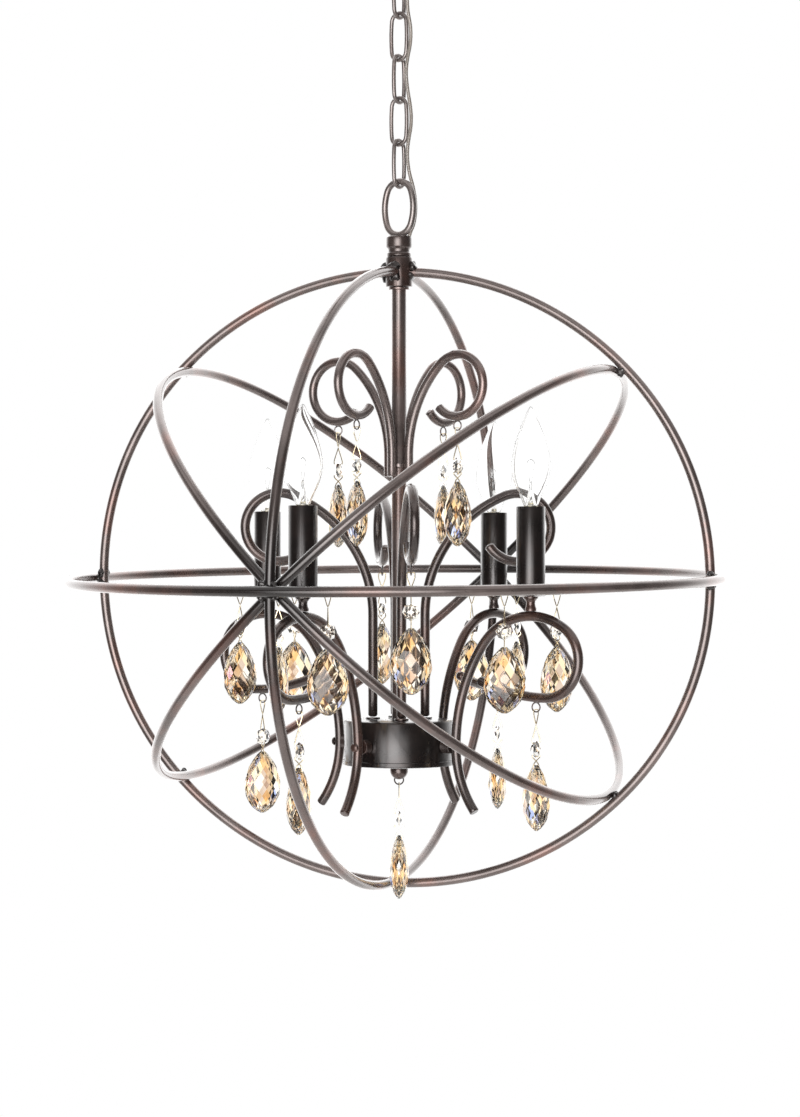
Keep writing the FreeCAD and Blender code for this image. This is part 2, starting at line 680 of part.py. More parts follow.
# Candle: neck, drip pan, sleeve, socket and bulb, drawn on their own axis.
neck = S.neckwidth / 2
neck_foot = S.armtop + S.armbar / 2 + S.gap / 3
neck_master = revolved("neck_master", [
    (0, neck_foot), (neck - 1.5, neck_foot), (neck - 1.5, neck_foot + 2), (neck - 2.6, neck_foot + 4),
    (neck - 2.6, S.necktop - 4), (neck, S.necktop - 1.5), (neck, S.necktop - 0.1), (0, S.necktop - 0.1)])
pan = S.panwidth / 2
pan_rise = 2.8
pan_rim = S.necktop + pan_rise
pan_master = revolved("pan_master", [
    (0, S.necktop), (neck + 2, S.necktop), (neck + 6, pan_rim - wall), (pan, pan_rim - wall),
    (pan, pan_rim), (neck + 5.6, pan_rim), (neck + 1.6, S.necktop + wall), (0, S.necktop + wall)])
bore(pan_master, "XY_Plane", S.panholes, size(0), S.pinwire * 2 + 0.8)
bore(pan_master, "XY_Plane", -S.panholes, size(0), S.pinwire * 2 + 0.8)
sleeve = S.sleevewidth / 2
sleeve_master = revolved("sleeve_master", [
    (sleeve - wall, S.sleevefoot), (sleeve, S.sleevefoot), (sleeve, S.sleevetop),
    (sleeve - wall, S.sleevetop)])
socket = S.socketwidth / 2
base_half = S.bulbbase / 2
socket_master = revolved("socket_master", [
    (0, S.necktop + wall + 0.1), (3, S.necktop + wall + 0.1), (3, S.sleevetop - 40),
    (socket - 3, S.sleevetop - 40), (socket, S.sleevetop - 36), (socket, S.sleevetop - 3),
    (sleeve - wall - 0.2, S.sleevetop - 2.4), (sleeve - wall - 0.2, S.sleevetop - 1),
    (base_half + S.gap, S.sleevetop - 1), (base_half + S.gap, S.sleevetop - 24),
    (0, S.sleevetop - 24)])
base_top = S.sleevetop + 1
glass = S.bulbwidth / 2
tip = S.bulbtip
widest = S.sleevetop + 30
bulb_master = revolved("bulb_glass", [
    (base_half - 1.2, base_top), (base_half + 0.6, base_top + 1), (base_half + 3, base_top + 9),
    (glass - 1.6, base_top + 18), (glass, widest), (glass - 1.8, widest + 15), (glass * 0.6, widest + 29),
    (glass * 0.2, tip - 8), (1.1, tip), (0, tip), (0, tip - 7), (glass * 0.2 - 1, tip - 9.5),
    (glass * 0.6 - S.glasswall, widest + 28.6), (glass - 1.8 - S.glasswall, widest + 14.6),
    (glass - S.glasswall, widest), (glass - 1.6 - S.glasswall, base_top + 18.4),
    (base_half + 3 - S.glasswall, base_top + 9.4), (base_half - 0.6, base_top + 1.6),
    (base_half - 2, base_top + 1)])
bulb_cap = revolved("bulb_cap", [
    (0, S.sleevetop - 22.5), (3, S.sleevetop - 22.5), (4.4, S.sleevetop - 20), (base_half, S.sleevetop - 18),
    (base_half, base_top - 0.3), (base_half - 1.2, base_top - 0.3), (base_half - 1.2, base_top),
    (base_half - 2, base_top + 1), (2.4, base_top + 1), (1.2, base_top + 26), (0, base_top + 26)])
groups = {"candle_necks": neck_master, "candle_sleeves": sleeve_master, "lamp_sockets": socket_master}
for node, master in groups.items():
    copies = []
    for name, compass in DIRECTIONS.items():
        copies.append(at_reach(copy_of(master, "%s_%s" % (node, name)), S.candlereach, compass, centre))
    keep(copy_of(copies, node + "_group"), node)
pans = []
for name, compass in DIRECTIONS.items():
    pan_copy = copy_of(pan_master, "pan_" + name)
    pans.append(at_reach(pan_copy, S.candlereach, compass, centre, PAN_TURN[name]))
    bulb = copy_of([bulb_master, bulb_cap], "bulb_copy_" + name)
    keep(at_reach(bulb, S.candlereach, compass, centre), "bulb_" + name)
keep(copy_of(pans, "pan_group"), "drip_pans")

# The ball of five hoops. Sharing one middle, they lie one inside the next: the level hoop
# outside, the two upright ones, then the two slanted ones.
hoop_gap = S.hoopbar + S.gap
pivot = V(0, 0, S.orbhalfheight.value)
tilt = (FreeCAD.Rotation(V(1, 0, 0), S.cagelean.value)
        * FreeCAD.Rotation(V(0, 1, 0), S.cageroll.value))
cage = FreeCAD.Placement(pivot + V(0, 0, centre.value) - tilt.multVec(pivot), tilt)
node_turn = FreeCAD.Rotation(V(0, 0, 1), S.nodeturn.value)
node_axis = node_turn.multVec(V(1, 0, 0))
side_turn = FreeCAD.Rotation(V(0, 0, 1), S.sideturn.value)


def upright_hoop(name, half_wide, half_high, spin):
    """An oval hoop whose bends meet at 45 degrees, drawn in the XZ plane and then turned."""
    shift = (half_wide - half_high) / (2 - math.sqrt(2))
    body = oval(name, half_wide, half_high, half_high + shift, S.hoopbar)
    body.Placement = FreeCAD.Placement(V(0, 0, 0), spin)
    return body


collar_tool = S.collarwidth + 2 * S.gap
bar_tool = S.hoopbar + 3 * S.gap
top_spot = V(0, 0, S.orbhalfheight.value)
side_hoop = upright_hoop("side_hoop", S.orbhalfwidth, S.orbhalfheight, side_turn)
side_cut = cut("side_cut", side_hoop, cylinder("side_tool", collar_tool, 60, top_spot, V(0, 0, 1)))
side_cut.Placement = cage
keep(side_cut, "hoop_side")
front_hoop = upright_hoop("front_hoop", S.orbhalfwidth, S.orbhalfheight, node_turn)
front_tools = copy_of([
    cylinder("front_tool", collar_tool, 60, top_spot, V(0, 0, 1)),
    cylinder("foot_tool", bar_tool, 60, -top_spot, side_turn.multVec(V(1, 0, 0)))], "front_tools")
front_cut = cut("front_cut", front_hoop, front_tools)
front_cut.Placement = cage
keep(front_cut, "hoop_front")

slanted_wide = S.orbhalfwidth - hoop_gap
along = cosine(90 - S.diagonallean) / S.orbhalfwidth
climb = sine(90 - S.diagonallean) / S.orbhalfheight
reach = along * along + climb * climb
slanted_high = Size(1 / math.sqrt(reach.value), "(1 / sqrt(%s))" % reach.text) - hoop_gap
leans = {"left": S.diagonallean.value, "right": -S.diagonallean.value}
slanted = {}
for side, lean in leans.items():
    spin = node_turn * FreeCAD.Rotation(V(1, 0, 0), lean)
    slanted[side] = upright_hoop("slanted_" + side, slanted_wide, slanted_high, spin)
slanted["left"].Placement = cage.multiply(slanted["left"].Placement)
keep(slanted["left"], "hoop_slanted_left")
passing = (node_turn * FreeCAD.Rotation(V(1, 0, 0), leans["left"])).multVec(V(0, 0, 1))
node_reach = slanted_wide.value
slanted_tools = copy_of([
    cylinder("near_tool", bar_tool, 60, node_axis * node_reach, passing),
    cylinder("far_tool", bar_tool, 60, node_axis * -node_reach, passing)], "slanted_tools")
slanted_cut = cut("slanted_cut", slanted["right"], slanted_tools)
slanted_cut.Placement = cage
keep(slanted_cut, "hoop_slanted_right")

equator = new_body("equator_body")
equator_sketch = new_sketch(equator, "XZ_Plane", "section")
outline(equator_sketch, ring_points(S.orbhalfwidth + hoop_gap, size(0), S.hoopbar / 2))
equator_turn = equator.newObject("PartDesign::Revolution", "turned")
equator_turn.Profile = equator_sketch
equator_turn.ReferenceAxis = (equator_sketch, ["V_Axis"])
equator_turn.Angle = 360
equator.Placement = cage.multiply(
    FreeCAD.Placement(V(0, 0, 0), FreeCAD.Rotation(node_axis, S.equatorroll.value)))
keep(equator, "hoop_equator")

# Pendant pieces, drawn below the wire that the pendant hangs on: the pin's loop swings
# about X, and the bead and the drop face Y.
pin = S.pinwidth / 2
waist = S.beadlevel - 18
over = S.eyeletwire / 2 + 0.8
loop_master = new_body("pin_loop")
loop_sketch = new_sketch(loop_master, "YZ_Plane", "outline")
inner = pin - S.pinwire
outline(loop_sketch, mirrored([(pin, over + S.pinwire), (pin, -2), (S.pinwire * 0.6, -waist),
                               (0, -waist)]))
outline(loop_sketch, mirrored([(inner, over), (inner, -1.8), (0, 2.6 - waist)]))
pad(loop_master, loop_sketch, S.pinwire)

bead = S.beadwidth / 2
prong = S.beadthick / 2 - 0.25
legs = prong + S.pinwire
bead_edge = bead * cosine(22.5)
fork_master = new_body("pin_fork")
fork_sketch = new_sketch(fork_master, "YZ_Plane", "outline")
fork_foot = bead_edge - 2.6
outline(fork_sketch, mirrored([
    (0, 2 - waist), (S.pinwire * 0.6, -waist), (legs, bead_edge + 0.5 - S.beadlevel),
    (legs, fork_foot - S.beadlevel), (prong, fork_foot - S.beadlevel),
    (prong, bead_edge + 0.1 - S.beadlevel), (0, -waist - 2)]))
pad(fork_master, fork_sketch, S.pinwire)

link_foot = S.droptop + 4.5
grip = S.dropthick * 0.125 + 0.3
grip_out = grip + S.pinwire
tie_waist = (S.beadlevel + bead_edge + S.droptop) / 2
tie_master = new_body("crystal_tie")
tie_sketch = new_sketch(tie_master, "YZ_Plane", "outline")
outline(tie_sketch, mirrored([
    (0, 1 - tie_waist), (prong, -S.beadlevel - bead_edge - 0.1), (prong, -S.beadlevel - fork_foot),
    (legs, -S.beadlevel - fork_foot), (legs, -S.beadlevel - bead_edge - 0.5),
    (0.7, -tie_waist), (grip_out, 1.2 - link_foot), (grip_out, -link_foot), (grip, -link_foot),
    (grip, 1.4 - link_foot), (0, -tie_waist - 1.2)]))
pad(tie_master, tie_sketch, S.pinwire)


def faceted(name, outline_points, middle, thick, table):
    """A cut crystal: a girdle outline that narrows to a flat table on both sides."""
    body = new_body(name)
    sections = []
    for offset, share in ((-thick / 2, table), (size(0), 1), (thick / 2, table)):
        sketch = new_sketch(body, "XZ_Plane", "cut", offset)
        outline(sketch, [(size(x) * share, -middle + (y + middle) * share)
                         for x, y in outline_points])
        sections.append(sketch)
    loft = body.newObject("PartDesign::AdditiveLoft", "crystal")
    loft.Profile = sections[0]
    loft.Sections = sections[1:]
    loft.Ruled = True
    return body


bead_master = faceted("bead", ring_points(size(0), -S.beadlevel, bead), S.beadlevel,
                      S.beadthick, 0.58)
half_drop = S.dropwidth / 2
drop_middle = S.droptop + 0.57 * S.droplength
drop_points = mirrored([
    (half_drop * 0.12, -S.droptop), (half_drop * 0.5, -S.droptop - 0.2 * S.droplength),
    (half_drop * 0.86, -S.droptop - 0.42 * S.droplength),
    (half_drop, -S.droptop - 0.62 * S.droplength),
    (half_drop * 0.8, -S.droptop - 0.81 * S.droplength),
    (half_drop * 0.36, -S.droptop - 0.95 * S.droplength), (0, -S.droptop - S.droplength)])
drop_master = faceted("drop", drop_points, drop_middle, S.dropthick, 0.45)


def pendant(name, x, y, z, swing, yaw):
    """Hangs one pendant: its loop swings about the swing direction, its crystals face yaw."""
    pin_loop = place(copy_of(loop_master, name + "_loop"), x, y, z, swing)
    pin_fork = place(copy_of(fork_master, name + "_fork"), x, y, z, yaw)
    pin_whole = fused(name + "_pin", [pin_loop, pin_fork])
    crystals = place(copy_of([bead_master, tie_master, drop_master], name + "_crystals"),
                     x, y, z, yaw)
    keep(copy_of([pin_whole, crystals], name + "_group"), name)


# How far each pendant's crystals have twisted on their pins, from the swing direction.
UPPER_YAW = {"front_right": -21, "front_left": 55, "rear_left": -41, "rear_right": 39}
LOWER_YAW = {"front_right": -25, "front_left": 12, "rear_left": 60, "rear_right": 39}
FIRST_PAN_YAW = {"front_right": 40, "front_left": 5, "rear_left": 25, "rear_right": 80}
SECOND_PAN_YAW = {"front_right": 0, "front_left": 85, "rear_left": 40, "rear_right": 20}
upper_hook = S.upperlevel - S.uppercurl - S.scrollbar / 2 - 0.85 * eyelet_half - hook_below_ring
lower_hook = arm_ring - hook_below_ring
middle_hook = S.middlelevel - S.middlecurl - S.middlebar / 2 - 0.85 * eyelet_half - hook_below_ring
pan_hook = pan_rim - wall / 2
hook_reach = S.panholes + pin - S.pinwire / 2
for name, compass in DIRECTIONS.items():
    direction = outward(compass)
    for level, hook, reach_out, yaw in (
            ("upper", upper_hook, S.upperreach, UPPER_YAW[name]),
            ("lower", lower_hook, eyelet_reach, LOWER_YAW[name])):
        pendant("pendant_%s_%s" % (level, name), reach_out * cosine(direction),
                reach_out * sine(direction), centre + hook, direction, direction + yaw)
    candle_x = S.candlereach * cosine(direction)
    candle_y = S.candlereach * sine(direction)
    turn = PAN_TURN[name]
    for mark, sign, yaw in (("a", 1, FIRST_PAN_YAW[name]), ("b", -1, SECOND_PAN_YAW[name])):
        pendant("pendant_pan_%s_%s" % (name, mark), candle_x + sign * hook_reach * cosine(turn),
                candle_y + sign * hook_reach * sine(turn), centre + pan_hook, turn + 90, yaw)
for name, yaw in (("front", 0), ("rear", 60)):
    direction = outward(MIDDLE_DIRECTIONS[name])
    pendant("pendant_middle_" + name, S.middlereach * cosine(direction),
            S.middlereach * sine(direction), centre + middle_hook, direction, yaw)
pendant("pendant_finial", 0, 0, centre + finial_ring - hook_below_ring, 0, 90)

# The clear supply lead beside the chain: straight runs joined by tangent arcs.
LEAD_POINTS = [
    (15, -6, -25.3), (16, -3.5, -58), (12.5, -8, -100), (14, -7, -146), (11.5, -9, -188),
    (13, -8, -222), (21, -8, -250), (19, -10, -270), (9, -13, -283)]


def lead_path(points):
    """A wire through the points, each corner rounded as widely as its runs allow."""
    edges = []
    start = points[0]
    for before, corner, after in zip(points, points[1:], points[2:]):
        back = before - corner
        ahead = after - corner
        half = (math.pi - back.getAngle(ahead)) / 2
        shorter = min(back.Length, ahead.Length)
        setback = 0.45 * shorter
        bend = setback / math.tan(half)
        back.normalize()
        ahead.normalize()
        enter = corner + back * setback
        leave = corner + ahead * setback
        inward = back + ahead
        inward.normalize()
        middle = corner + inward * (bend / math.cos(half) - bend)
        edges.append(Part.LineSegment(start, enter).toShape())
        edges.append(Part.Arc(enter, middle, leave).toShape())
        start = leave
    edges.append(Part.LineSegment(start, points[-1]).toShape())
    return Part.Wire(edges)


lead = doc.addObject("Part::Feature", "supply_lead_body")
lead_points = [V(*point) for point in LEAD_POINTS]
lead_wire = lead_path(lead_points)
thickness = S.leadwidth.value
turns = [math.radians(360 / BAR_SIDES * k) for k in range(BAR_SIDES)]
along_lead = FreeCAD.Rotation(V(0, 0, 1), lead_points[1] - lead_points[0])
corners = [lead_points[0] + along_lead.multVec(V(math.cos(turn), math.sin(turn), 0)) * (thickness / 2)
           for turn in turns]
lead_section = Part.makePolygon(corners + corners[:1])
lead.Shape = lead_wire.makePipeShell([lead_section], True, False)
keep(lead, "supply_lead")

doc.recompute()
for item in doc.Objects:
    if "Invalid" in item.State or "Error" in item.State:
        raise RuntimeError("%s failed: %s" % (item.Name, item.State))
for name, item in parts.items():
    if item.Shape.isNull() or not item.Shape.isValid() or not item.Shape.Solids:
        raise RuntimeError("%s has no valid solid" % name)
os.makedirs("parts", exist_ok=True)
for name, item in parts.items():
    item.Shape.exportStep("parts/%s.step" % name)
print("%d sub-parts" % len(parts))
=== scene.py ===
import bpy
import math
import numpy as np
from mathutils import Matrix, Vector


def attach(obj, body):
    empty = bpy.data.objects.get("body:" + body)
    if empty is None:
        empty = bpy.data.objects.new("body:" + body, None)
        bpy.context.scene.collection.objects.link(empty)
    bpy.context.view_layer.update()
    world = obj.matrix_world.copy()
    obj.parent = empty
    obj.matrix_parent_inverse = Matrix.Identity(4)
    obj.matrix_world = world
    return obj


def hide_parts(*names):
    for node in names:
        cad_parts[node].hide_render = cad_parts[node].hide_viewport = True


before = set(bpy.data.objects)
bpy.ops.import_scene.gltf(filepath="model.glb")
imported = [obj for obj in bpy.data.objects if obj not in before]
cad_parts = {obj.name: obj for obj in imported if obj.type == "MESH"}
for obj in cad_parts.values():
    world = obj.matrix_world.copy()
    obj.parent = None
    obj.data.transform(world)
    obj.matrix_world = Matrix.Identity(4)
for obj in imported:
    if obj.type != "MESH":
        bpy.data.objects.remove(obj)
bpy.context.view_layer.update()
scene = bpy.context.scene


# Mounting bar: a pressed steel strap, zinc plated, held by two screws to the outlet box.
# The canopy hides it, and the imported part's own solid shows, so only its finish is made here.
def new_material(name):
    """A material with its tree and its one shader."""
    material = bpy.data.materials.new(name)
    material.use_nodes = True
    tree = material.node_tree
    return material, tree, tree.nodes["Principled BSDF"]


def add(tree, kind, **values):
    """A new node, with its input sockets or its settings given by name."""
    node = tree.nodes.new(kind)
    for key, value in values.items():
        if key in node.inputs:
            node.inputs[key].default_value = value
        else:
            setattr(node, key, value)
    return node


def spread(tree, source, low, high, top=1.0):
    """A value carried evenly from low..high to 0..top, and held there at both ends."""
    node = tree.nodes.new("ShaderNodeMapRange")
    node.inputs["To Max"].default_value = top
    for name, bound in (("From Min", low), ("From Max", high)):
        if isinstance(bound, (int, float)):
            node.inputs[name].default_value = bound
        else:
            tree.links.new(bound, node.inputs[name])
    tree.links.new(source, node.inputs["Value"])
    return node.outputs["Result"]


def blend_colors(tree, share, below, above):
    """The colour a share of the way from below to above."""
    node = add(tree, "ShaderNodeMix", data_type="RGBA")
    for socket, source in ((0, share), (6, below), (7, above)):
        tree.links.new(source, node.inputs[socket])
    return node.outputs[2]


def new_group(name, inputs, outputs):
    """A shader group with named sockets. Each name comes with its kind, Color or Float."""
    group = bpy.data.node_groups.new(name, "ShaderNodeTree")
    for way, sockets in (("INPUT", inputs), ("OUTPUT", outputs)):
        for socket, kind in sockets:
            group.interface.new_socket(socket, in_out=way, socket_type="NodeSocket" + kind)
    entry, leave = group.nodes.new("NodeGroupInput"), group.nodes.new("NodeGroupOutput")
    return group, entry.outputs, leave.inputs


def place_group(tree, group, **values):
    """A group set in a material, with that material's own values on its inputs."""
    node = add(tree, "ShaderNodeGroup", node_tree=group)
    for socket, value in values.items():
        node.inputs[socket].default_value = (*value, 1) if isinstance(value, tuple) else value
    return node


# Mottling is a soft noise that runs from one tone to another.
MOTTLING, given, made = new_group(
    "mottling", [("Dark", "Color"), ("Light", "Color"), ("Scale", "Float"), ("Detail", "Float"),
                 ("Start", "Float"), ("End", "Float")], [("Color", "Color"), ("Height", "Float")])
on_object = add(MOTTLING, "ShaderNodeTexCoord").outputs["Object"]
noise = add(MOTTLING, "ShaderNodeTexNoise")
MOTTLING.links.new(on_object, noise.inputs["Vector"])
MOTTLING.links.new(given["Scale"], noise.inputs["Scale"])
MOTTLING.links.new(given["Detail"], noise.inputs["Detail"])
tone = spread(MOTTLING, noise.outputs["Fac"], given["Start"], given["End"])
MOTTLING.links.new(blend_colors(MOTTLING, tone, given["Dark"], given["Light"]), made["Color"])
MOTTLING.links.new(noise.outputs["Fac"], made["Height"])


def plain_metal(name, dark, light, roughness, scale):
    """Bare metal, mottled between two tones."""
    material, tree, shader = new_material(name)
    tones = place_group(tree, MOTTLING, Dark=dark, Light=light, Scale=scale, Detail=4.0,
                        Start=0.3, End=0.7)
    tree.links.new(tones.outputs["Color"], shader.inputs["Base Color"])
    shader.inputs["Metallic"].default_value = 1.0
    shader.inputs["Roughness"].default_value = roughness
    return material


ZINC = plain_metal("zinc", (0.45, 0.45, 0.44), (0.62, 0.62, 0.6), 0.35, 120.0)
for material_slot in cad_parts["mounting_bar"].material_slots:
    material_slot.material = ZINC


# Canopy: a shallow dome spun from sheet steel, lacquered bronze, pulled up to the ceiling
# by the nut on the loop's shank. Sizes here and below are millimetres.
MM = 0.001


def maths(tree, operation, *values):
    """One arithmetic node, fed with plain numbers or with other nodes' outputs."""
    node = add(tree, "ShaderNodeMath", operation=operation)
    for socket, value in zip(node.inputs, values):
        if isinstance(value, (int, float)):
            socket.default_value = value
        else:
            tree.links.new(value, socket)
    return node.outputs[0]


# The bronze is a near-black brown lacquer: soft mottling, a few copper-red rubbed patches
# and a faint orange peel, under a clear coat.
LACQUER, given, made = new_group(
    "bronze_lacquer", [("Dark", "Color"), ("Light", "Color"), ("Rubbed", "Color"),
                       ("Share", "Float"), ("Gloss", "Float")],
    [("Color", "Color"), ("Roughness", "Float"), ("Height", "Float")])
on_object = add(LACQUER, "ShaderNodeTexCoord").outputs["Object"]
mottle = add(LACQUER, "ShaderNodeTexNoise", Scale=30.0, Detail=4.0, Roughness=0.55)
patches = add(LACQUER, "ShaderNodeTexNoise", Scale=11.0, Detail=5.0, Roughness=0.7)
grain = add(LACQUER, "ShaderNodeTexNoise", Scale=120.0, Detail=1.0, Roughness=0.4)
for texture in (mottle, patches, grain):
    LACQUER.links.new(on_object, texture.inputs["Vector"])
tone = spread(LACQUER, mottle.outputs["Fac"], 0.35, 0.68)
base = blend_colors(LACQUER, tone, given["Dark"], given["Light"])
worn = spread(LACQUER, patches.outputs["Fac"], 0.5, 0.7)
worn = maths(LACQUER, "MULTIPLY", worn, given["Share"])
LACQUER.links.new(blend_colors(LACQUER, worn, base, given["Rubbed"]), made["Color"])
duller = spread(LACQUER, mottle.outputs["Fac"], 0.3, 0.7, 0.1)
LACQUER.links.new(maths(LACQUER, "ADD", duller, given["Gloss"]), made["Roughness"])
LACQUER.links.new(grain.outputs["Fac"], made["Height"])


def bronze(name, dark, light, rubbed, share, gloss):
    """Lacquered steel: its tones, the share of its rubbed patches and its lowest roughness."""
    material, tree, shader = new_material(name)
    lacquer = place_group(tree, LACQUER, Dark=dark, Light=light, Rubbed=rubbed, Share=share,
                          Gloss=gloss)
    tree.links.new(lacquer.outputs["Color"], shader.inputs["Base Color"])
    tree.links.new(lacquer.outputs["Roughness"], shader.inputs["Roughness"])
    peel = add(tree, "ShaderNodeBump", Strength=0.02, Distance=0.0001)
    tree.links.new(lacquer.outputs["Height"], peel.inputs["Height"])
    tree.links.new(peel.outputs["Normal"], shader.inputs["Normal"])
    shader.inputs["Metallic"].default_value = 0.6
    shader.inputs["Coat Weight"].default_value = 0.8
    shader.inputs["Coat Roughness"].default_value = 0.18
    return material


def grid_faces(rows, columns, closed=False):
    """Quads of a grid: each joins a point and its neighbour to the two below, row by row."""
    row = np.arange(rows if closed else rows - 1)[:, None]
    here = np.arange(columns)
    aside = np.roll(here, -1)
    upper, lower = row * columns, (row + 1) % rows * columns
    corners = np.broadcast_arrays(upper + here, upper + aside, lower + aside, lower + here)
    return np.stack(corners, axis=2).reshape(-1, 4).tolist()


def lathe(profile, segments=48):
    """A turned form: each (radius, level) of the profile, carried round the Z axis."""
    profile = np.asarray(profile, float)
    turns = np.linspace(0, 2 * math.pi, segments, endpoint=False)
    radii = np.maximum(profile[:, 0], 0.001)
    points = np.stack([radii[:, None] * np.cos(turns), radii[:, None] * np.sin(turns),
                       np.repeat(profile[:, 1:], segments, axis=1)], axis=2).reshape(-1, 3)
    return points, grid_faces(len(profile), segments, True)


def smooth(points, per_span=8):
    """A curve through all the points: a cubic in u between each two, whose slope at a point
    is half the step from the point before it to the one after."""
    points = np.asarray(points, float)
    padded = np.concatenate([[2 * points[0] - points[1]], points, [2 * points[-1] - points[-2]]])
    a, b, c, d = (padded[k:len(padded) - 3 + k, None] for k in range(4))
    u = np.linspace(0, 1, per_span, endpoint=False)[:, None]
    curve = 0.5 * (2 * b + (c - a) * u + (2 * a - 5 * b + 4 * c - d) * u * u
                   + (3 * b - a - 3 * c + d) * u ** 3)
    return np.concatenate([curve.reshape(-1, points.shape[1]), points[-1:]])


def piece(name, form, materials, body, node=None, sharp=35, flat=False):
    """Makes the mesh object of a form, lets it ride on a body and replace a node."""
    points, faces = form[0], form[1]
    mesh = bpy.data.meshes.new(name)
    mesh.from_pydata((points * MM).tolist(), [], faces)
    if len(form) > 2:
        mesh.polygons.foreach_set("material_index", form[2])
    mesh.polygons.foreach_set("use_smooth", [not flat] * len(faces))
    if not flat:
        mesh.set_sharp_from_angle(angle=math.radians(sharp))
    mesh.update()
    obj = bpy.data.objects.new(name, mesh)
    for material in materials if isinstance(materials, list) else [materials]:
        mesh.materials.append(material)
    scene.collection.objects.link(obj)
    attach(obj, body)
    if node:
        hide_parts(node)
    return obj


BRONZE = bronze("bronze", (0.108, 0.083, 0.076), (0.18, 0.14, 0.13), (0.26, 0.12, 0.09), 0.6, 0.22)
dome = smooth([(63.5, 0), (62.6, -4.5), (57, -11.2), (46, -17.2), (32, -21.6), (20, -24.2),
               (13.75, -25)], 5)
inside = smooth([(13.6, -23.8), (19.6, -23), (31.4, -20.4), (45.2, -16), (56, -10.2), (61.2, -4),
                 (62.3, 0)], 5)
canopy_form = lathe(np.concatenate([dome, [(5.2, -25), (5.2, -23.8)], inside]), 96)
piece("canopy_spinning", canopy_form, BRONZE, "ceiling", "canopy")


# Canopy loop: an oval of round bar on a threaded shank, in the chain's greyer bronze. A
# collar nut holds it below the canopy, and a hexagon nut locks it on the mounting bar.
def turn_z(points, degrees):
    """Turns points about the vertical."""
    angle = math.radians(degrees)
    c, s = math.cos(angle), math.sin(angle)
    x, y, z = points.T
    return np.stack([c * x - s * y, s * x + c * y, z], axis=1)


def join(*forms):
    """Several (points, faces, material slot) forms as one."""
    points, faces, slots, base = [], [], [], 0
    for form_points, form_faces, slot in forms:
        points.append(form_points)
        faces.extend([tuple(i + base for i in face) for face in form_faces])
        slots.extend([slot] * len(form_faces) if isinstance(slot, int) else slot)
        base += len(form_points)
    return np.concatenate(points), faces, slots


def arc(x, z, radius, start, end, steps=None):
    """Points at even angles, in degrees, on a circle about (x, z) in the XZ plane."""
    steps = steps or max(4, int(abs(end - start) * math.sqrt(radius) / 14))
    angles = np.radians(np.linspace(start, end, steps + 1))
    return np.stack([x + radius * np.cos(angles), np.zeros(steps + 1),
                     z + radius * np.sin(angles)], axis=1)


def chain_paths(*stretches):
    """Stretches of a path end to end, each without the point that it shares."""
    return np.concatenate([stretches[0]] + [stretch[1:] for stretch in stretches[1:]])


def oval_path(w, h, t):
    """A closed oval of four tangent arcs, w and h to each side of its middle. The top and
    foot have radius t, and the sides the radius that meets them without a kink."""
    side_bend = ((h - t) ** 2 + w * w - t * t) / (2 * (w - t))
    sign = 1 if side_bend > t else -1
    meet = math.degrees(math.atan2(sign * (h - t), sign * (side_bend - w)))
    return chain_paths(
        arc(0, h - t, t, 90, meet), arc(w - side_bend, 0, side_bend, meet, -meet),
        arc(0, t - h, t, -meet, meet - 180),
        arc(side_bend - w, 0, side_bend, meet - 180, -180 - meet),
        arc(0, h - t, t, 180 - meet, 90))[:-1]


# How a bar ends: the share of its radius at each step inwards from the tip.
ENDS = {"round": [(0.0, 0.5), (0.16, 0.8), (0.42, 0.96)],
        "cut": [(0.0, 0.82), (0.06, 0.94), (0.16, 1.0)]}


def tube(path, radius, sides=20, closed=False, ends=("round", "round")):
    """A round bar: a circle square to the path, carried along it in the XZ plane."""
    path = np.asarray(path, float)
    ahead = np.roll(path, -1, axis=0) - np.roll(path, 1, axis=0)
    if not closed:
        ahead[0], ahead[-1] = path[1] - path[0], path[-1] - path[-2]
    ahead /= np.linalg.norm(ahead, axis=1)[:, None]
    radii = np.full(len(path), float(radius))
    if not closed:
        head, tail = np.array(ENDS[ends[0]]), np.array(ENDS[ends[1]])[::-1]
        path = np.concatenate([path[0] + ahead[0] * radius * head[:, :1], path[1:-1],
                               path[-1] - ahead[-1] * radius * tail[:, :1]])
        radii = np.concatenate([radius * head[:, 1], radii[1:-1], radius * tail[:, 1]])
        ahead = np.concatenate([np.repeat(ahead[:1], 3, axis=0), ahead[1:-1],
                                np.repeat(ahead[-1:], 3, axis=0)])
    across = np.array([0.0, 1.0, 0.0])
    inward = np.cross(ahead, across)
    turns = np.linspace(0, 2 * math.pi, sides, endpoint=False)
    rings = (path[:, None] + radii[:, None, None] * (np.cos(turns)[None, :, None] * across
             + np.sin(turns)[None, :, None] * inward[:, None]))
    points = rings.reshape(-1, 3)
    faces = grid_faces(len(path), sides, closed)
    if not closed:
        faces.append(list(range(sides)))
        faces.append(list(range(len(points) - 1, len(points) - 1 - sides, -1)))
    return points, faces


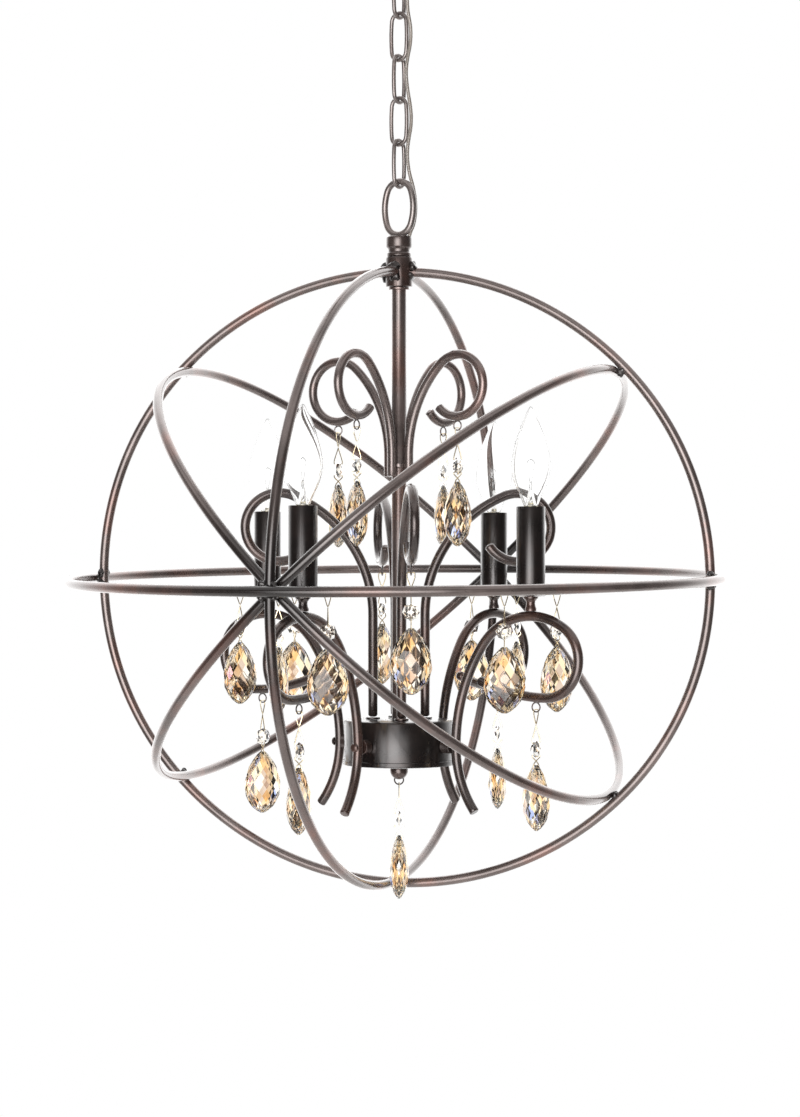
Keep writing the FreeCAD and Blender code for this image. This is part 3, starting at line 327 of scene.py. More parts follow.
CHAIN = bronze("chain_bronze", (0.15, 0.125, 0.117), (0.23, 0.195, 0.183), (0.26, 0.15, 0.12),
               0.3, 0.24)
LOOP_WIRE = 2.75
LINK_TURN = -34.0
CANOPY_LOOP = dict(w=15.5, h=16.5, t=15.5 * 0.85)
CANOPY_LOOP_FOOT = -71.225
canopy_middle = CANOPY_LOOP_FOOT + CANOPY_LOOP["h"]
shank_foot = canopy_middle + CANOPY_LOOP["h"]
ring_points, ring_faces = tube(oval_path(**CANOPY_LOOP), LOOP_WIRE, 20, closed=True)
ring_points = turn_z(ring_points, LINK_TURN) + np.array([0, 0, canopy_middle])
shank_points, shank_faces = lathe([
    (0, -0.3), (4.4, -0.3), (4.75, -0.7), (4.75, shank_foot + 3.5), (7.0, shank_foot + 2.8),
    (7.35, shank_foot + 2), (7.35, shank_foot - 0.6), (6.9, shank_foot - 1),
    (0, shank_foot - 1)], 36)
canopy_loop = join((ring_points, ring_faces, 0), (shank_points, shank_faces, 0))
piece("canopy_loop_casting", canopy_loop, CHAIN, "ceiling", "canopy_loop")
collar_nut = lathe([(4.9, -25.3), (10.6, -25.3), (10.95, -25.7), (10.95, -27.9), (10.6, -28.4),
                    (9.7, -32.6), (9.3, -33), (4.9, -33)], 48)
hexagon = lathe([(4.95, -6.8), (8.6, -6.8), (9.15, -6.3), (9.15, -3.3), (8.6, -2.8),
                 (4.95, -2.8)], 6)
piece("loop_nut_forms", join((*collar_nut, 0), (*hexagon, 0)), CHAIN, "ceiling", "loop_nuts")


# Chain: five ovals of steel wire, closed by a butt joint, each turned a quarter from the
# last. From here down, a level is measured from the middle of the ball of hoops.
DROP = 565.0


def lift(points, level=0.0):
    """Sets a form that is drawn about the middle of the ball at its place below the ceiling."""
    return points + np.array([0, 0, level - DROP])


LINK_WIRE = 1.75
LINK = dict(w=7.6, h=19.2, t=7.6 * 0.93)
LINK_STEP = 34.7
FIRST_LINK = 340.525
for number in range(1, 6):
    points, faces = tube(oval_path(**LINK), LINK_WIRE, 16, closed=True)
    turn = LINK_TURN + (90 if number % 2 else 0)
    level = FIRST_LINK + (number - 1) * LINK_STEP
    piece("link_wire_%d" % number, (lift(turn_z(points, turn), level), faces), CHAIN,
          "link_%d" % number, "chain_link_%d" % number)


# Hanging loop: an oval of heavier wire, let into a stout turned base that screws on the
# stem's top. The base is in the arms' bronze, darkened as painted shade.
# The bronze darkened as painted shade, for the shade in the middle of the lamp. The arms, middle
# scrolls, bosses, fasteners, candle necks and pans, the finial, the collar and this base take it.
SHADED_BRONZE = bronze("shaded_bronze", (0.044, 0.032, 0.029), (0.088, 0.064, 0.058), (0.15, 0.068, 0.048),
              0.6, 0.22)
HANGING_LOOP = dict(w=14.0, h=21.85, t=12.4)
HANGING_LEVEL = 304.225
loop_points, loop_faces = tube(oval_path(**HANGING_LOOP), LOOP_WIRE, 24, closed=True)
base_form = lathe([(0, 264), (9.6, 264), (10, 264.5), (10, 266.6), (9.6, 267.2), (8.9, 267.7),
                   (8.8, 269.6), (9.4, 270.8), (10.3, 271.5), (10.6, 272.2), (10.6, 278.6),
                   (10.4, 279.8), (9.4, 280.8), (0, 281)], 40)
hanging = join((turn_z(loop_points, LINK_TURN) + np.array([0, 0, HANGING_LEVEL]), loop_faces, 0),
               (*base_form, 1))
piece("hanging_loop_casting", (lift(hanging[0]), hanging[1], hanging[2]), [CHAIN, SHADED_BRONZE], "lamp",
      "hanging_loop")


# Supply lead: clear plastic flex, pulled taut and woven beside the chain, from the canopy's
# underside into the hanging loop's base.
def moulded(name, color, roughness, clear):
    """A moulded plastic, cloudy by a sixth and a little uneven to the touch."""
    material, tree, shader = new_material(name)
    paler = tuple(min(1, c * 1.15) for c in color)
    tones = place_group(tree, MOTTLING, Dark=color, Light=paler, Scale=260.0, Detail=3.0,
                        Start=0.35, End=0.7)
    tree.links.new(tones.outputs["Color"], shader.inputs["Base Color"])
    uneven = add(tree, "ShaderNodeBump", Strength=0.08, Distance=0.0003)
    tree.links.new(tones.outputs["Height"], uneven.inputs["Height"])
    tree.links.new(uneven.outputs["Normal"], shader.inputs["Normal"])
    shader.inputs["Roughness"].default_value = roughness
    shader.inputs["Transmission Weight"].default_value = clear
    return material


LEAD = moulded("clear_lead", (0.3, 0.265, 0.235), 0.12, 0.7)
LEAD_POINTS = [
    (15, -6, -25.3), (15.5, -4, -50), (8.5, -8, -72), (6, -8, -96), (11, -6, -120), (5.5, -8, -146),
    (6.5, -5, -162), (11.2, -5.8, -189), (6.5, -7, -212), (7.5, -5, -230), (12.6, -2.2, -247),
    (14, -3.4, -262), (12.2, -2, -275), (9.2, -2.8, -281), (8.6, -3.4, -284.2)]
lead_curve = bpy.data.curves.new("lead_curve", "CURVE")
lead_curve.dimensions = "3D"
lead_curve.bevel_depth = 1.5 * MM
lead_curve.bevel_resolution = 5
lead_spline = lead_curve.splines.new("NURBS")
lead_spline.points.add(len(LEAD_POINTS) - 1)
for point, place in zip(lead_spline.points, LEAD_POINTS):
    point.co = (*(c * MM for c in place), 1)
lead_spline.order_u = 3
lead_spline.use_endpoint_u = True
lead_spline.resolution_u = 12
lead = bpy.data.objects.new("supply_flex", lead_curve)
lead_curve.materials.append(LEAD)
scene.collection.objects.link(lead)
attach(lead, "lamp")
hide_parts("supply_lead")


# Collar and stem: a short steel collar that the hoops are welded to, over a long lacquered
# tube with one raised ring, which carries the scrolls, the drum and the wires.
def turned(name, profile, material, node, segments=56):
    """A piece turned about the stem's axis."""
    points, faces = lathe(profile, segments)
    piece(name, (lift(points), faces), material, "lamp", node)


turned("collar_turning", [(4, 239.2), (9.8, 239), (10.8, 239.4), (11, 240.4), (11, 262),
                          (10.6, 263.2), (9.6, 263.7), (4, 263.7)], SHADED_BRONZE, "top_collar")
turned("stem_turning", [(4, -146), (5.9, -146), (6, -145), (6, 90.6), (6.3, 91.1), (6.8, 91.6),
                        (6.9, 92.4), (6.9, 93.6), (6.8, 94.4), (6.3, 94.9), (6, 95.4), (6, 236.5),
                        (8.3, 236.8), (8.5, 237.2), (8.5, 238.4), (8.2, 238.7), (4, 238.7)],
       BRONZE, "stem")


# Ball of five hoops: round steel bar rolled into ovals that nest one inside the next and
# cross at the front and the rear. The ball leans back and a little to the left.
def turn_x(points, degrees):
    """Turns points about the X axis."""
    angle = math.radians(degrees)
    c, s = math.cos(angle), math.sin(angle)
    x, y, z = points.T
    return np.stack([x, c * y - s * z, s * y + c * z], axis=1)


def turn_y(points, degrees):
    """Turns points about the Y axis."""
    angle = math.radians(degrees)
    c, s = math.cos(angle), math.sin(angle)
    x, y, z = points.T
    return np.stack([c * x + s * z, y, c * z - s * x], axis=1)


def ramp(tree, source, stops):
    """A colour for each value, even between the stops."""
    node = add(tree, "ShaderNodeValToRGB")
    elements = node.color_ramp.elements
    while len(elements) < len(stops):
        elements.new(0.5)
    for element, (place, color) in zip(elements, stops):
        element.position = place
        element.color = (*color, 1)
    tree.links.new(source, node.inputs["Fac"])
    return node.outputs["Color"]


def grey(value):
    """A neutral colour."""
    return (value, value, value)


# The lacquer is darkened for some 12 cm about the two crossings, where all are welded.
# This darkening is painted shade, for the shade where the bars crowd together.
HOOP = bronze("hoop_bronze", (0.108, 0.083, 0.076), (0.18, 0.14, 0.13), (0.26, 0.115, 0.085),
              0.7, 0.22)
FRONT_CROSSING = (-0.091, -0.245, -0.575)
REAR_CROSSING = (0.091, 0.245, -0.56)
hoop_tree = HOOP.node_tree
hoop_base = hoop_tree.nodes["Principled BSDF"].inputs["Base Color"]
on_object = add(hoop_tree, "ShaderNodeTexCoord").outputs["Object"]
for crossing in (FRONT_CROSSING, REAR_CROSSING):
    # Painted shade: the base colour is multiplied by a ramp that darkens it near this crossing.
    away = add(hoop_tree, "ShaderNodeVectorMath", operation="DISTANCE")
    away.inputs[1].default_value = crossing
    hoop_tree.links.new(on_object, away.inputs[0])
    crossing_shade = ramp(hoop_tree, away.outputs["Value"], [(0.0, grey(0.12)), (0.03, grey(0.2)),
                                                   (0.12, grey(1))])
    shaded_hoop_tone = add(hoop_tree, "ShaderNodeMix", data_type="RGBA", blend_type="MULTIPLY")
    shaded_hoop_tone.inputs[0].default_value = 1
    hoop_tree.links.new(hoop_base.links[0].from_socket, shaded_hoop_tone.inputs[6])
    hoop_tree.links.new(crossing_shade, shaded_hoop_tone.inputs[7])
    hoop_tree.links.new(shaded_hoop_tone.outputs[2], hoop_base)

HOOP_BAR = 4.0
HALF_WIDTH, HALF_HEIGHT = 261.0, 251.5
NODE_TURN, SIDE_TURN, LEAN = 69.6, -17.0, 46.5
CAGE_LEAN, CAGE_ROLL, LEVEL_ROLL = 2.35, 0.62, -1.1


def cage(points):
    """The lean of the whole ball about its collar."""
    pivot = np.array([0, 0, HALF_HEIGHT])
    return lift(turn_x(turn_y(points - pivot, CAGE_ROLL), CAGE_LEAN) + pivot)


def hoop(name, a, b, spin):
    """A bar along an oval a wide and b high to each side, whose bends meet at 45 degrees."""
    top_bend = b + (a - b) / (2 - math.sqrt(2))
    points, faces = tube(oval_path(a, b, top_bend), HOOP_BAR, 24, closed=True)
    piece(name + "_bar", (cage(spin(points)), faces), HOOP, "lamp", name)


hoop("hoop_side", HALF_WIDTH, HALF_HEIGHT, lambda p: turn_z(p, SIDE_TURN))
hoop("hoop_front", HALF_WIDTH, HALF_HEIGHT, lambda p: turn_z(p, NODE_TURN))
nest = 2 * HOOP_BAR + 0.3
slant = math.radians(90 - LEAN)
slanted_high = 1 / math.hypot(math.cos(slant) / HALF_WIDTH, math.sin(slant) / HALF_HEIGHT) - nest
hoop("hoop_slanted_left", HALF_WIDTH - nest, slanted_high,
     lambda p: turn_z(turn_x(p, LEAN), NODE_TURN))
hoop("hoop_slanted_right", HALF_WIDTH - nest, slanted_high,
     lambda p: turn_z(turn_x(p, -LEAN), NODE_TURN))


def level_spin(points):
    """The level hoop lies flat, then tilts about the front and rear crossings."""
    return turn_z(turn_x(points, 90 + LEVEL_ROLL), NODE_TURN)


level_reach = HALF_WIDTH + nest
level_path = arc(0, 0, level_reach, 0, 360, 200)[:-1]
level_points, level_faces = tube(level_path, HOOP_BAR, 24, closed=True)
piece("hoop_equator_bar", (cage(level_spin(level_points)), level_faces), HOOP, "lamp",
      "hoop_equator")


# Weld beads: small lumpy domes of weld metal that bridge the bars where the hoops cross
# and where they meet the collar, left in the darkest lacquer.
DARK = bronze("dark_bronze", (0.012, 0.009, 0.0085), (0.027, 0.02, 0.018), (0.055, 0.03, 0.024),
              0.5, 0.24)


def weld(centre, size, seed):
    """A sphere whose radius swells and sinks with a few sines of its two angles."""
    rings, sides = 10, 16
    tilt, turn = np.meshgrid(np.linspace(-math.pi / 2, math.pi / 2, rings),
                             np.linspace(0, 2 * math.pi, sides, endpoint=False), indexing="ij")
    local = np.random.default_rng(seed)
    shift = local.uniform(0, 6, 3)
    lumps = (1 + 0.13 * np.sin(3 * turn + shift[0]) * np.cos(tilt)
             + 0.1 * np.sin(2 * turn + 3 * tilt + shift[1]) + 0.08 * np.sin(5 * tilt + shift[2]))
    sphere = np.stack([np.cos(tilt) * np.cos(turn), np.cos(tilt) * np.sin(turn),
                       np.sin(tilt)], axis=2)
    stretch = local.uniform(0.75, 1.15, 3)
    points = (sphere * lumps[..., None]).reshape(-1, 3) * stretch * size + centre
    return points, grid_faces(rings, sides), 0


def at_level(level):
    """The point of the ball's axis at a level."""
    return np.array([0, 0, level])


node = turn_z(np.array([[1.0, 0, 0]]), NODE_TURN)[0]
side = turn_z(np.array([[1.0, 0, 0]]), SIDE_TURN)[0]
side_rise = (level_reach * math.sin(math.radians(NODE_TURN - SIDE_TURN))
             * math.cos(math.radians(90 + LEVEL_ROLL)))
side_weld = side * (HALF_WIDTH + 4) + at_level(side_rise)
crossing_welds = [node * (HALF_WIDTH + 4), node * -(HALF_WIDTH + 4), node * (HALF_WIDTH - 4),
                  node * -(HALF_WIDTH - 4), side_weld, -side_weld, at_level(-HALF_HEIGHT)]
for up in (1, -1):
    for out in (1, -1):
        crossing_welds.append(side * out * (HALF_WIDTH - 4.2) * math.cos(slant)
                              + at_level(up * (HALF_HEIGHT - 4.2) * math.sin(slant)))
corner_welds = []
for axis, rise, proud in ((node, 0.0, 3.4), (-node, 0.0, 3.4), (side, side_rise, 0.6),
                          (-side, -side_rise, 0.6)):
    along = np.array([-axis[1], axis[0], 0])
    for across in (-4.6, 4.6):
        for up in (-4.4, 4.4):
            corner_welds.append(axis * (HALF_WIDTH + proud) + along * across + at_level(rise + up))
collar_welds = []
for axis in (node, side):
    for way in (1, -1):
        for rise in (-3, 3.5):
            collar_welds.append(axis * way * (10.2 + 0.35 * rise) + at_level(HALF_HEIGHT + rise))
beads = []
for centres, size, seed in ((crossing_welds, 4.4, 20), (corner_welds, 3.3, 40),
                            (collar_welds, 5.2, 60)):
    beads.extend(weld(centre, size, seed + k) for k, centre in enumerate(centres))
welds = join(*beads)
piece("hoop_welds", (cage(welds[0]), welds[1], welds[2]), DARK, "lamp", sharp=60)


# Upper scrolls: four rods bent in an S with a curl at the end, welded by their straight
# feet to the stem. A wire eyelet under each curl takes a pendant.
DIRECTIONS = {"front_right": 53, "front_left": -35, "rear_left": -121, "rear_right": 141}


def scroll_path(start_x, start_z, sweep, curl, curl_x, curl_z, tip_x):
    """A straight foot, an outward arc of radius sweep, then the tangent arc of the curl."""
    bend_z = curl_z - math.sqrt((sweep - curl) ** 2 - (start_x + sweep - curl_x) ** 2)
    meet = math.degrees(math.atan2(curl_z - bend_z, curl_x - start_x - sweep))
    tip = -180 + math.degrees(math.acos((curl_x - tip_x) / curl))
    straight = np.array([[start_x, 0, start_z], [start_x, 0, (start_z + bend_z) / 2],
                         [start_x, 0, bend_z]])
    return chain_paths(straight, arc(start_x + sweep, bend_z, sweep, 180, meet),
                       arc(curl_x, curl_z, curl, meet, tip))


EYELET = 4.3
EYELET_WIRE = 0.6
EYELET_HANG = 0.85 * EYELET


def eyelet(x, z):
    """A small round wire ring in the plane of its scroll."""
    ring = tube(arc(x, z, EYELET - EYELET_WIRE, 0, 360, 24)[:-1], EYELET_WIRE, 8, closed=True)
    return (*ring, 0)


UPPER = dict(start_x=10.05, start_z=84, sweep=100, curl=25, curl_x=59, curl_z=156, tip_x=40)
UPPER_BAR = 3.75
upper_ring = UPPER["curl_z"] - UPPER["curl"] - UPPER_BAR - EYELET_HANG
uppers = []
for compass in DIRECTIONS.values():
    rod = tube(scroll_path(**UPPER), UPPER_BAR, 24, ends=("cut", "round"))
    bar = join((*rod, 0), eyelet(UPPER["curl_x"], upper_ring))
    uppers.append((turn_z(bar[0], compass - 90), bar[1], bar[2]))
uppers = join(*uppers)
piece("upper_scroll_bars", (lift(uppers[0]), uppers[1], uppers[2]), BRONZE, "lamp", "upper_scrolls")


# Drum: a shallow steel cup under the stem that hides the wiring, closed from below by a
# cover with a rolled edge. A turned ball with an eyelet draws both together.
turned("drum_turning", [(6.3, -115), (42.6, -115), (44.2, -115.5), (45, -117), (45, -148),
                        (43.8, -148), (43.8, -117.2), (42.4, -116.2), (6.3, -116.2)],
       DARK, "hub_cup", 96)
turned("cover_turning", [(3.4, -152), (45, -152), (45.8, -151.7), (46, -151.2), (46, -148.2),
                         (45.7, -147.8), (45.3, -147.8), (45.3, -148.3), (41.8, -148.3),
                         (41.8, -150.2), (3.4, -150.2)], DARK, "hub_cover", 96)
BALL = 7.5
ball_level = -152 - 0.3 - 0.62 * BALL
angles = np.radians(np.arange(42, -91, -7))
ball_profile = np.concatenate([[(0, -142), (3, -142), (3, -152.3)],
                               np.stack([BALL * np.cos(angles), ball_level + BALL * np.sin(angles)],
                                        axis=1)])
finial_ring = ball_level - BALL - 0.05 * EYELET
finial = join((*lathe(ball_profile, 40), 0), eyelet(0, finial_ring))
piece("finial_turning", (lift(finial[0]), finial[1], finial[2]), SHADED_BRONZE, "lamp", "finial_ball")


# Middle scrolls: four taller rods bent like the upper ones and bolted on the drum. Only
# the front and the rear one carry an eyelet and a pendant.
MIDDLE_DIRECTIONS = {"front": 5.5, "right": 95.5, "rear": 188.5, "left": 275.5}
MIDDLE = dict(start_x=21.5, start_z=-112.7, sweep=106.4, curl=28, curl_x=98, curl_z=42.5, tip_x=74)
ARM_BAR = 4.0
middle_ring = MIDDLE["curl_z"] - MIDDLE["curl"] - ARM_BAR - EYELET_HANG
for name, compass in MIDDLE_DIRECTIONS.items():
    forms = [(*tube(scroll_path(**MIDDLE), ARM_BAR), 0)]
    if name in ("front", "rear"):
        forms.append(eyelet(MIDDLE["curl_x"], middle_ring))
    bar = join(*forms)
    piece("middle_bar_" + name, (lift(turn_z(bar[0], compass - 90)), bar[1], bar[2]), SHADED_BRONZE,
          "lamp", "middle_scroll_" + name)


# Candle arms: four rods of five tangent bends, from the splayed foot over the crown that
# carries the candle, round the curl and in along the tail. Each is screwed to the drum.
CANDLE_REACH = 130.0
HOOK_REACH = 135
WAIST_LEVEL = -135.0


def arm_path():
    """The arm's five arcs end to end, and the level of the eyelet under its tail. Each arc's
    centre lies on the line through its neighbour's centre and the point where they meet."""
    waist_x, waist_z, foot_z, foot = 57.5, WAIST_LEVEL, -187.0, 82.3
    crown, top_z, curl, curl_x, tail, tip_x = 57.3, -29.3, 30.0, 144.5, 172.6, 80.0
    crown_x, crown_z = CANDLE_REACH, top_z - crown
    across, rise = crown_x - waist_x, crown_z - waist_z
    rear = (across ** 2 + rise ** 2 - crown ** 2) / (2 * (across - crown))
    meet = math.degrees(math.atan2(rise, crown_x - waist_x - rear))
    curl_z = crown_z + math.sqrt((crown - curl) ** 2 - (curl_x - crown_x) ** 2)
    over = math.degrees(math.atan2(curl_z - crown_z, curl_x - crown_x))
    low = math.degrees(math.asin((waist_z - foot_z) / foot))
    back = math.degrees(math.asin((curl_x - tip_x) / tail))
    path = chain_paths(
        arc(waist_x + foot, waist_z, foot, 180 + low, 180),
        arc(waist_x + rear, waist_z, rear, 180, meet), arc(crown_x, crown_z, crown, meet, over),
        arc(curl_x, curl_z, curl, over, -90),
        arc(curl_x, curl_z - curl + tail, tail, -90, -90 - back))
    tail_level = curl_z - curl + tail - math.sqrt(tail ** 2 - (curl_x - HOOK_REACH) ** 2)
    return path, tail_level - ARM_BAR - EYELET_HANG


arm_points, arm_ring = arm_path()
for name, compass in DIRECTIONS.items():
    rod = tube(arm_points, ARM_BAR, 24, ends=("cut", "round"))
    bar = join((*rod, 0), eyelet(HOOK_REACH, arm_ring))
    piece("arm_bar_" + name, (lift(turn_z(bar[0], compass - 90)), bar[1], bar[2]), SHADED_BRONZE,
          "lamp", "main_arm_" + name)


# Bosses and fasteners: a turned boss keeps each arm clear of the drum, a round-headed screw
# goes through both, and a washer lies under each middle scroll's foot.
def outward_form(profile, segments=28):
    """A turned form laid down so that it points along +X at the arms' waist."""
    points, faces = lathe(profile, segments)
    return np.stack([points[:, 2], points[:, 1], WAIST_LEVEL - points[:, 0]], axis=1), faces


boss_forms, fastener_forms = [], []
for compass in DIRECTIONS.values():
    boss_points, boss_faces = outward_form([(2.3, 45.2), (5.6, 45.2), (6, 45.6), (6, 53),
                                            (5.6, 53.4), (2.3, 53.4)])
    boss_forms.append((turn_z(boss_points, compass - 90), boss_faces, 0))
    screw_points, screw_faces = outward_form([(0, 41), (2, 41), (2, 61.6), (3.6, 61.6), (3.6, 62.4),
                                              (3.1, 63.4), (1.9, 64), (0, 64.1)])
    fastener_forms.append((turn_z(screw_points, compass - 90), screw_faces, 0))
washer_points, washer_faces = lathe([(0, -114.7), (5.6, -114.7), (6, -114.4), (6, -113.6),
                                     (5.5, -113.1), (0, -113.1)], 24)
washer_points = washer_points + np.array([MIDDLE["start_x"], 0, 0])
for compass in MIDDLE_DIRECTIONS.values():
    fastener_forms.append((turn_z(washer_points, compass - 90), washer_faces, 0))
bosses, fasteners = join(*boss_forms), join(*fastener_forms)
piece("boss_turnings", (lift(bosses[0]), bosses[1], bosses[2]), SHADED_BRONZE, "lamp", "arm_bosses")
piece("fastener_turnings", (lift(fasteners[0]), fasteners[1], fasteners[2]), SHADED_BRONZE, "lamp",
      "hub_fasteners")


# Candles: on each arm's crown a turned neck, a pressed drip pan, a tall steel sleeve in
# the darkest lacquer, and a black moulded socket inside it, stacked on one threaded tube.
SOCKET = moulded("socket", (0.035, 0.033, 0.032), 0.5, 0.0)
NECK = [(0, -25.2), (4.5, -25.2), (4.6, -23.4), (3.8, -21.6), (3.5, -19), (3.8, -17.4), (5, -16),
        (6, -15.2), (6, -14.1), (0, -14.1)]
PAN = [(0, -14), (8, -14), (10.5, -13.7), (12.2, -12.6), (14, -12.4), (25.6, -12.4), (26, -12.1),
       (26, -11.5), (25.6, -11.2), (13.6, -11.2), (11.8, -11.5), (10, -12.6), (7.6, -12.8),
       (0, -12.8)]
SLEEVE = [(10.2, -10.8), (11.2, -10.8), (11.4, -10.6), (11.4, 56.6), (11.2, 57), (10.4, 57),
          (10.2, 56.8)]
HOLDER = [(0, -12.7), (3, -12.7), (3, 17), (6, 17), (9, 21), (9, 54), (9.9, 54.6), (9.9, 56),
          (6.2, 56), (6.2, 33), (0, 33)]


def at_candle(points, name):
    """Turns a form to face outwards and moves it from the stem's axis to a candle's."""
    direction = DIRECTIONS[name] - 90
    angle = math.radians(direction)
    return lift(turn_z(points, direction)
                + CANDLE_REACH * np.array([math.cos(angle), math.sin(angle), 0]))


for node_name, profile, material, slot_name in (
        ("candle_necks", NECK, SHADED_BRONZE, "bronze"), ("drip_pans", PAN, SHADED_BRONZE, "bronze"),
        ("candle_sleeves", SLEEVE, DARK, "bronze"), ("lamp_sockets", HOLDER, SOCKET, "socket")):
    points, faces = lathe(profile, 44)
    forms = [(at_candle(points, name), faces, 0) for name in DIRECTIONS]
    piece(node_name + "_turned", join(*forms), material, "lamp", node_name)


# Bulbs: a blown torpedo envelope of thin clear glass on a brass screw base. Inside stand
# the glass stem, two lead wires and the wavy filament between them.
def glass(name, color, ior, film):
    """Clear glass, cloudy in its tint, with a thin film for coloured glints."""
    material, tree, shader = new_material(name)
    paler = tuple(1 - 0.7 * (1 - c) for c in color)
    tones = place_group(tree, MOTTLING, Dark=color, Light=paler, Scale=60.0, Detail=2.0,
                        Start=0.3, End=0.75)
    tree.links.new(tones.outputs["Color"], shader.inputs["Base Color"])
    shader.inputs["Transmission Weight"].default_value = 1.0
    shader.inputs["Roughness"].default_value = 0.0
    shader.inputs["IOR"].default_value = ior
    shader.inputs["Thin Film Thickness"].default_value = film
    shader.inputs["Thin Film IOR"].default_value = 1.7
    return material


BULB = glass("bulb_glass", (0.99, 0.99, 0.985), 1.45, 0.0)
CAP = plain_metal("cap_brass", (0.55, 0.46, 0.3), (0.75, 0.68, 0.5), 0.28, 200.0)
WIRE = plain_metal("filament", (0.25, 0.25, 0.26), (0.4, 0.4, 0.4), 0.35, 500.0)
GLASS_WALL = 0.7
THREAD_TURNS = 8
THREAD_PITCH = 2.1
outer_glass = smooth([(5.4, 57.6), (6.3, 59.5), (8.4, 65), (11.6, 72), (14.4, 79.5), (15.7, 87),
                      (15.2, 96), (13, 106), (9.8, 116), (6.2, 125), (3.2, 131.5), (1.3, 135),
                      (0, 136)], 4)
inner_glass = np.stack([np.maximum(outer_glass[:, 0] - GLASS_WALL, 0), outer_glass[:, 1] - 0.25],
                       axis=1)[::-1]
inner_glass[0, 1] -= 0.6
envelope = lathe(np.concatenate([outer_glass, inner_glass]), 48)
turn_levels = 39.5 + THREAD_PITCH * np.arange(THREAD_TURNS)[:, None]
thread = np.stack([np.tile([5.45, 5.9], THREAD_TURNS),
                   (turn_levels + np.array([0, THREAD_PITCH / 2])).ravel()], axis=1)
base_cap = lathe(np.concatenate([[(0, 34.6), (3, 34.6), (4.4, 37), (5.6, 38.4)], thread,
                                 [(5.5, 56.3), (5.3, 57.5), (0, 57.5)]]), 36)
glass_stem = lathe(smooth([(4.6, 58), (2.6, 61), (1.5, 66), (1.3, 73), (1.0, 76), (0, 77)], 4), 20)
# The filament runs evenly across, and its level is an arch with small waves on it.
u = np.linspace(0, 1, 60)
filament_level = 92 + 2.2 * np.sin(math.pi * u) + 0.5 * np.sin(70 * u)
filament_path = np.stack([-3.6 + 7.2 * u, 0 * u, filament_level], axis=1)
wires = [(*tube([(way * 0.6, 0, 70), (way * 1.2, 0, 78), (way * 3.6, 0, 92)], 0.2, 6), 3)
         for way in (-1, 1)]
bulb_form = join((*envelope, 0), (*base_cap, 1), (*glass_stem, 2), *wires,
                 (*tube(filament_path, 0.13, 5), 3))
for name in DIRECTIONS:
    piece("bulb_form_" + name, (at_candle(bulb_form[0], name), bulb_form[1], bulb_form[2]),
          [BULB, CAP, BULB, WIRE], "bulb_" + name, "bulb_" + name)


# Crystal drops: egg-shaped briolettes of cut glass, flattened, their whole surface a
# lattice of diamond facets. Champagne tones. Facets drawn at random in amber glass are partly
# the glass's own warmth and partly painted glints. Smoky brown facets are painted dark
# reflections, and orange or blue facets are painted glints.
CRYSTAL = glass("crystal", (1.0, 0.93, 0.8), 1.6, 0.0)
AMBER_AND_GLINT = glass("crystal_amber_and_glint", (1.0, 0.66, 0.26), 1.6, 0.0)
PAINTED_DARK_FACET = glass("crystal_painted_dark_reflection", (0.4, 0.2, 0.08), 1.6, 0.0)
PAINTED_ORANGE_GLINT = glass("crystal_painted_orange_glint", (1.0, 0.42, 0.06), 1.6, 460.0)
PAINTED_BLUE_GLINT = glass("crystal_painted_blue_glint", (0.22, 0.34, 1.0), 1.6, 300.0)


def lattice(half_wide, half_thick, shape, columns):
    """Rows of points on flattened rings, every second row turned by half a step, and a
    diamond from each point to the one two rows below it. Shape gives each row's level and
    its share of the full width."""
    rows = len(shape)
    row, column = np.arange(rows)[:, None], np.arange(columns)
    level, share = np.array(shape, float).T[:, :, None]
    turns = 2 * math.pi * (column + 0.5 * (row % 2)) / columns
    points = np.stack([half_wide * share * np.cos(turns), half_thick * share * np.sin(turns),
                       level + 0 * turns], axis=2).reshape(-1, 3)
    odd, above = row[:-2] % 2, row[:-2] * columns
    diamonds = np.stack(np.broadcast_arrays(
        above + column, above + columns + (column - 1 + odd) % columns,
        above + 2 * columns + column, above + columns + (column + odd) % columns), axis=2)
    after = (column + 1) % columns
    foot = (rows - 1) * columns
    top_rim = np.stack([after, column, columns + column], axis=1)
    foot_rim = np.stack([foot + column, foot + after,
                         foot - columns + (column + (rows - 1) % 2) % columns], axis=1)
    rims = np.stack([top_rim, foot_rim], axis=1)
    return points, (diamonds.reshape(-1, 4).tolist() + rims.reshape(-1, 3).tolist()
                    + [column.tolist(), (foot + column[::-1]).tolist()])


FULLEST = 0.58
BLUNT_TIP = 0.12


def egg_share(u):
    """Width of the drop at a share u of its length: a sine swells from the pointed top to
    the fullest part, and a circle's quarter, drawn in a little, closes the foot."""
    top = np.sin(0.5 * math.pi * np.minimum(u / FULLEST, 1)) ** 0.6
    low = np.maximum(0.0, 1 - (np.maximum(u - FULLEST, 0) / (1 - FULLEST)) ** 2) ** 0.62
    return np.maximum(BLUNT_TIP, top * low)


DROP_TOP, DROP_LENGTH = -41.5, 52
drop_rows = np.array([0.0, 0.05, 0.14, 0.25, 0.37, 0.49, 0.61, 0.72, 0.82, 0.9, 0.965, 1.0])
drop_shape = np.stack([DROP_TOP - DROP_LENGTH * drop_rows, egg_share(drop_rows)], axis=1)
DROP_FORM = lattice(16.5, 8.0, drop_shape, 12)
# Each facet draws its glass at random. The amber, smoky, orange and blue facets are painted glints
# and painted dark reflections, and the amber ones also carry the glass's warm tone.
DROP_TINTS_AND_GLINTS = np.random.default_rng(5).choice(
    [2, 3, 4, 5, 6], len(DROP_FORM[1]), p=[0.42, 0.29, 0.18, 0.07, 0.04]).tolist()


# Octagon beads: flat eight-sided crystals, cut with small tables, three rows of facets to
# each side and a thin girdle. One hangs above every drop.
BEAD = glass("bead_crystal", (1.0, 0.93, 0.82), 1.58, 0.0)
BEAD_LEVEL = -29


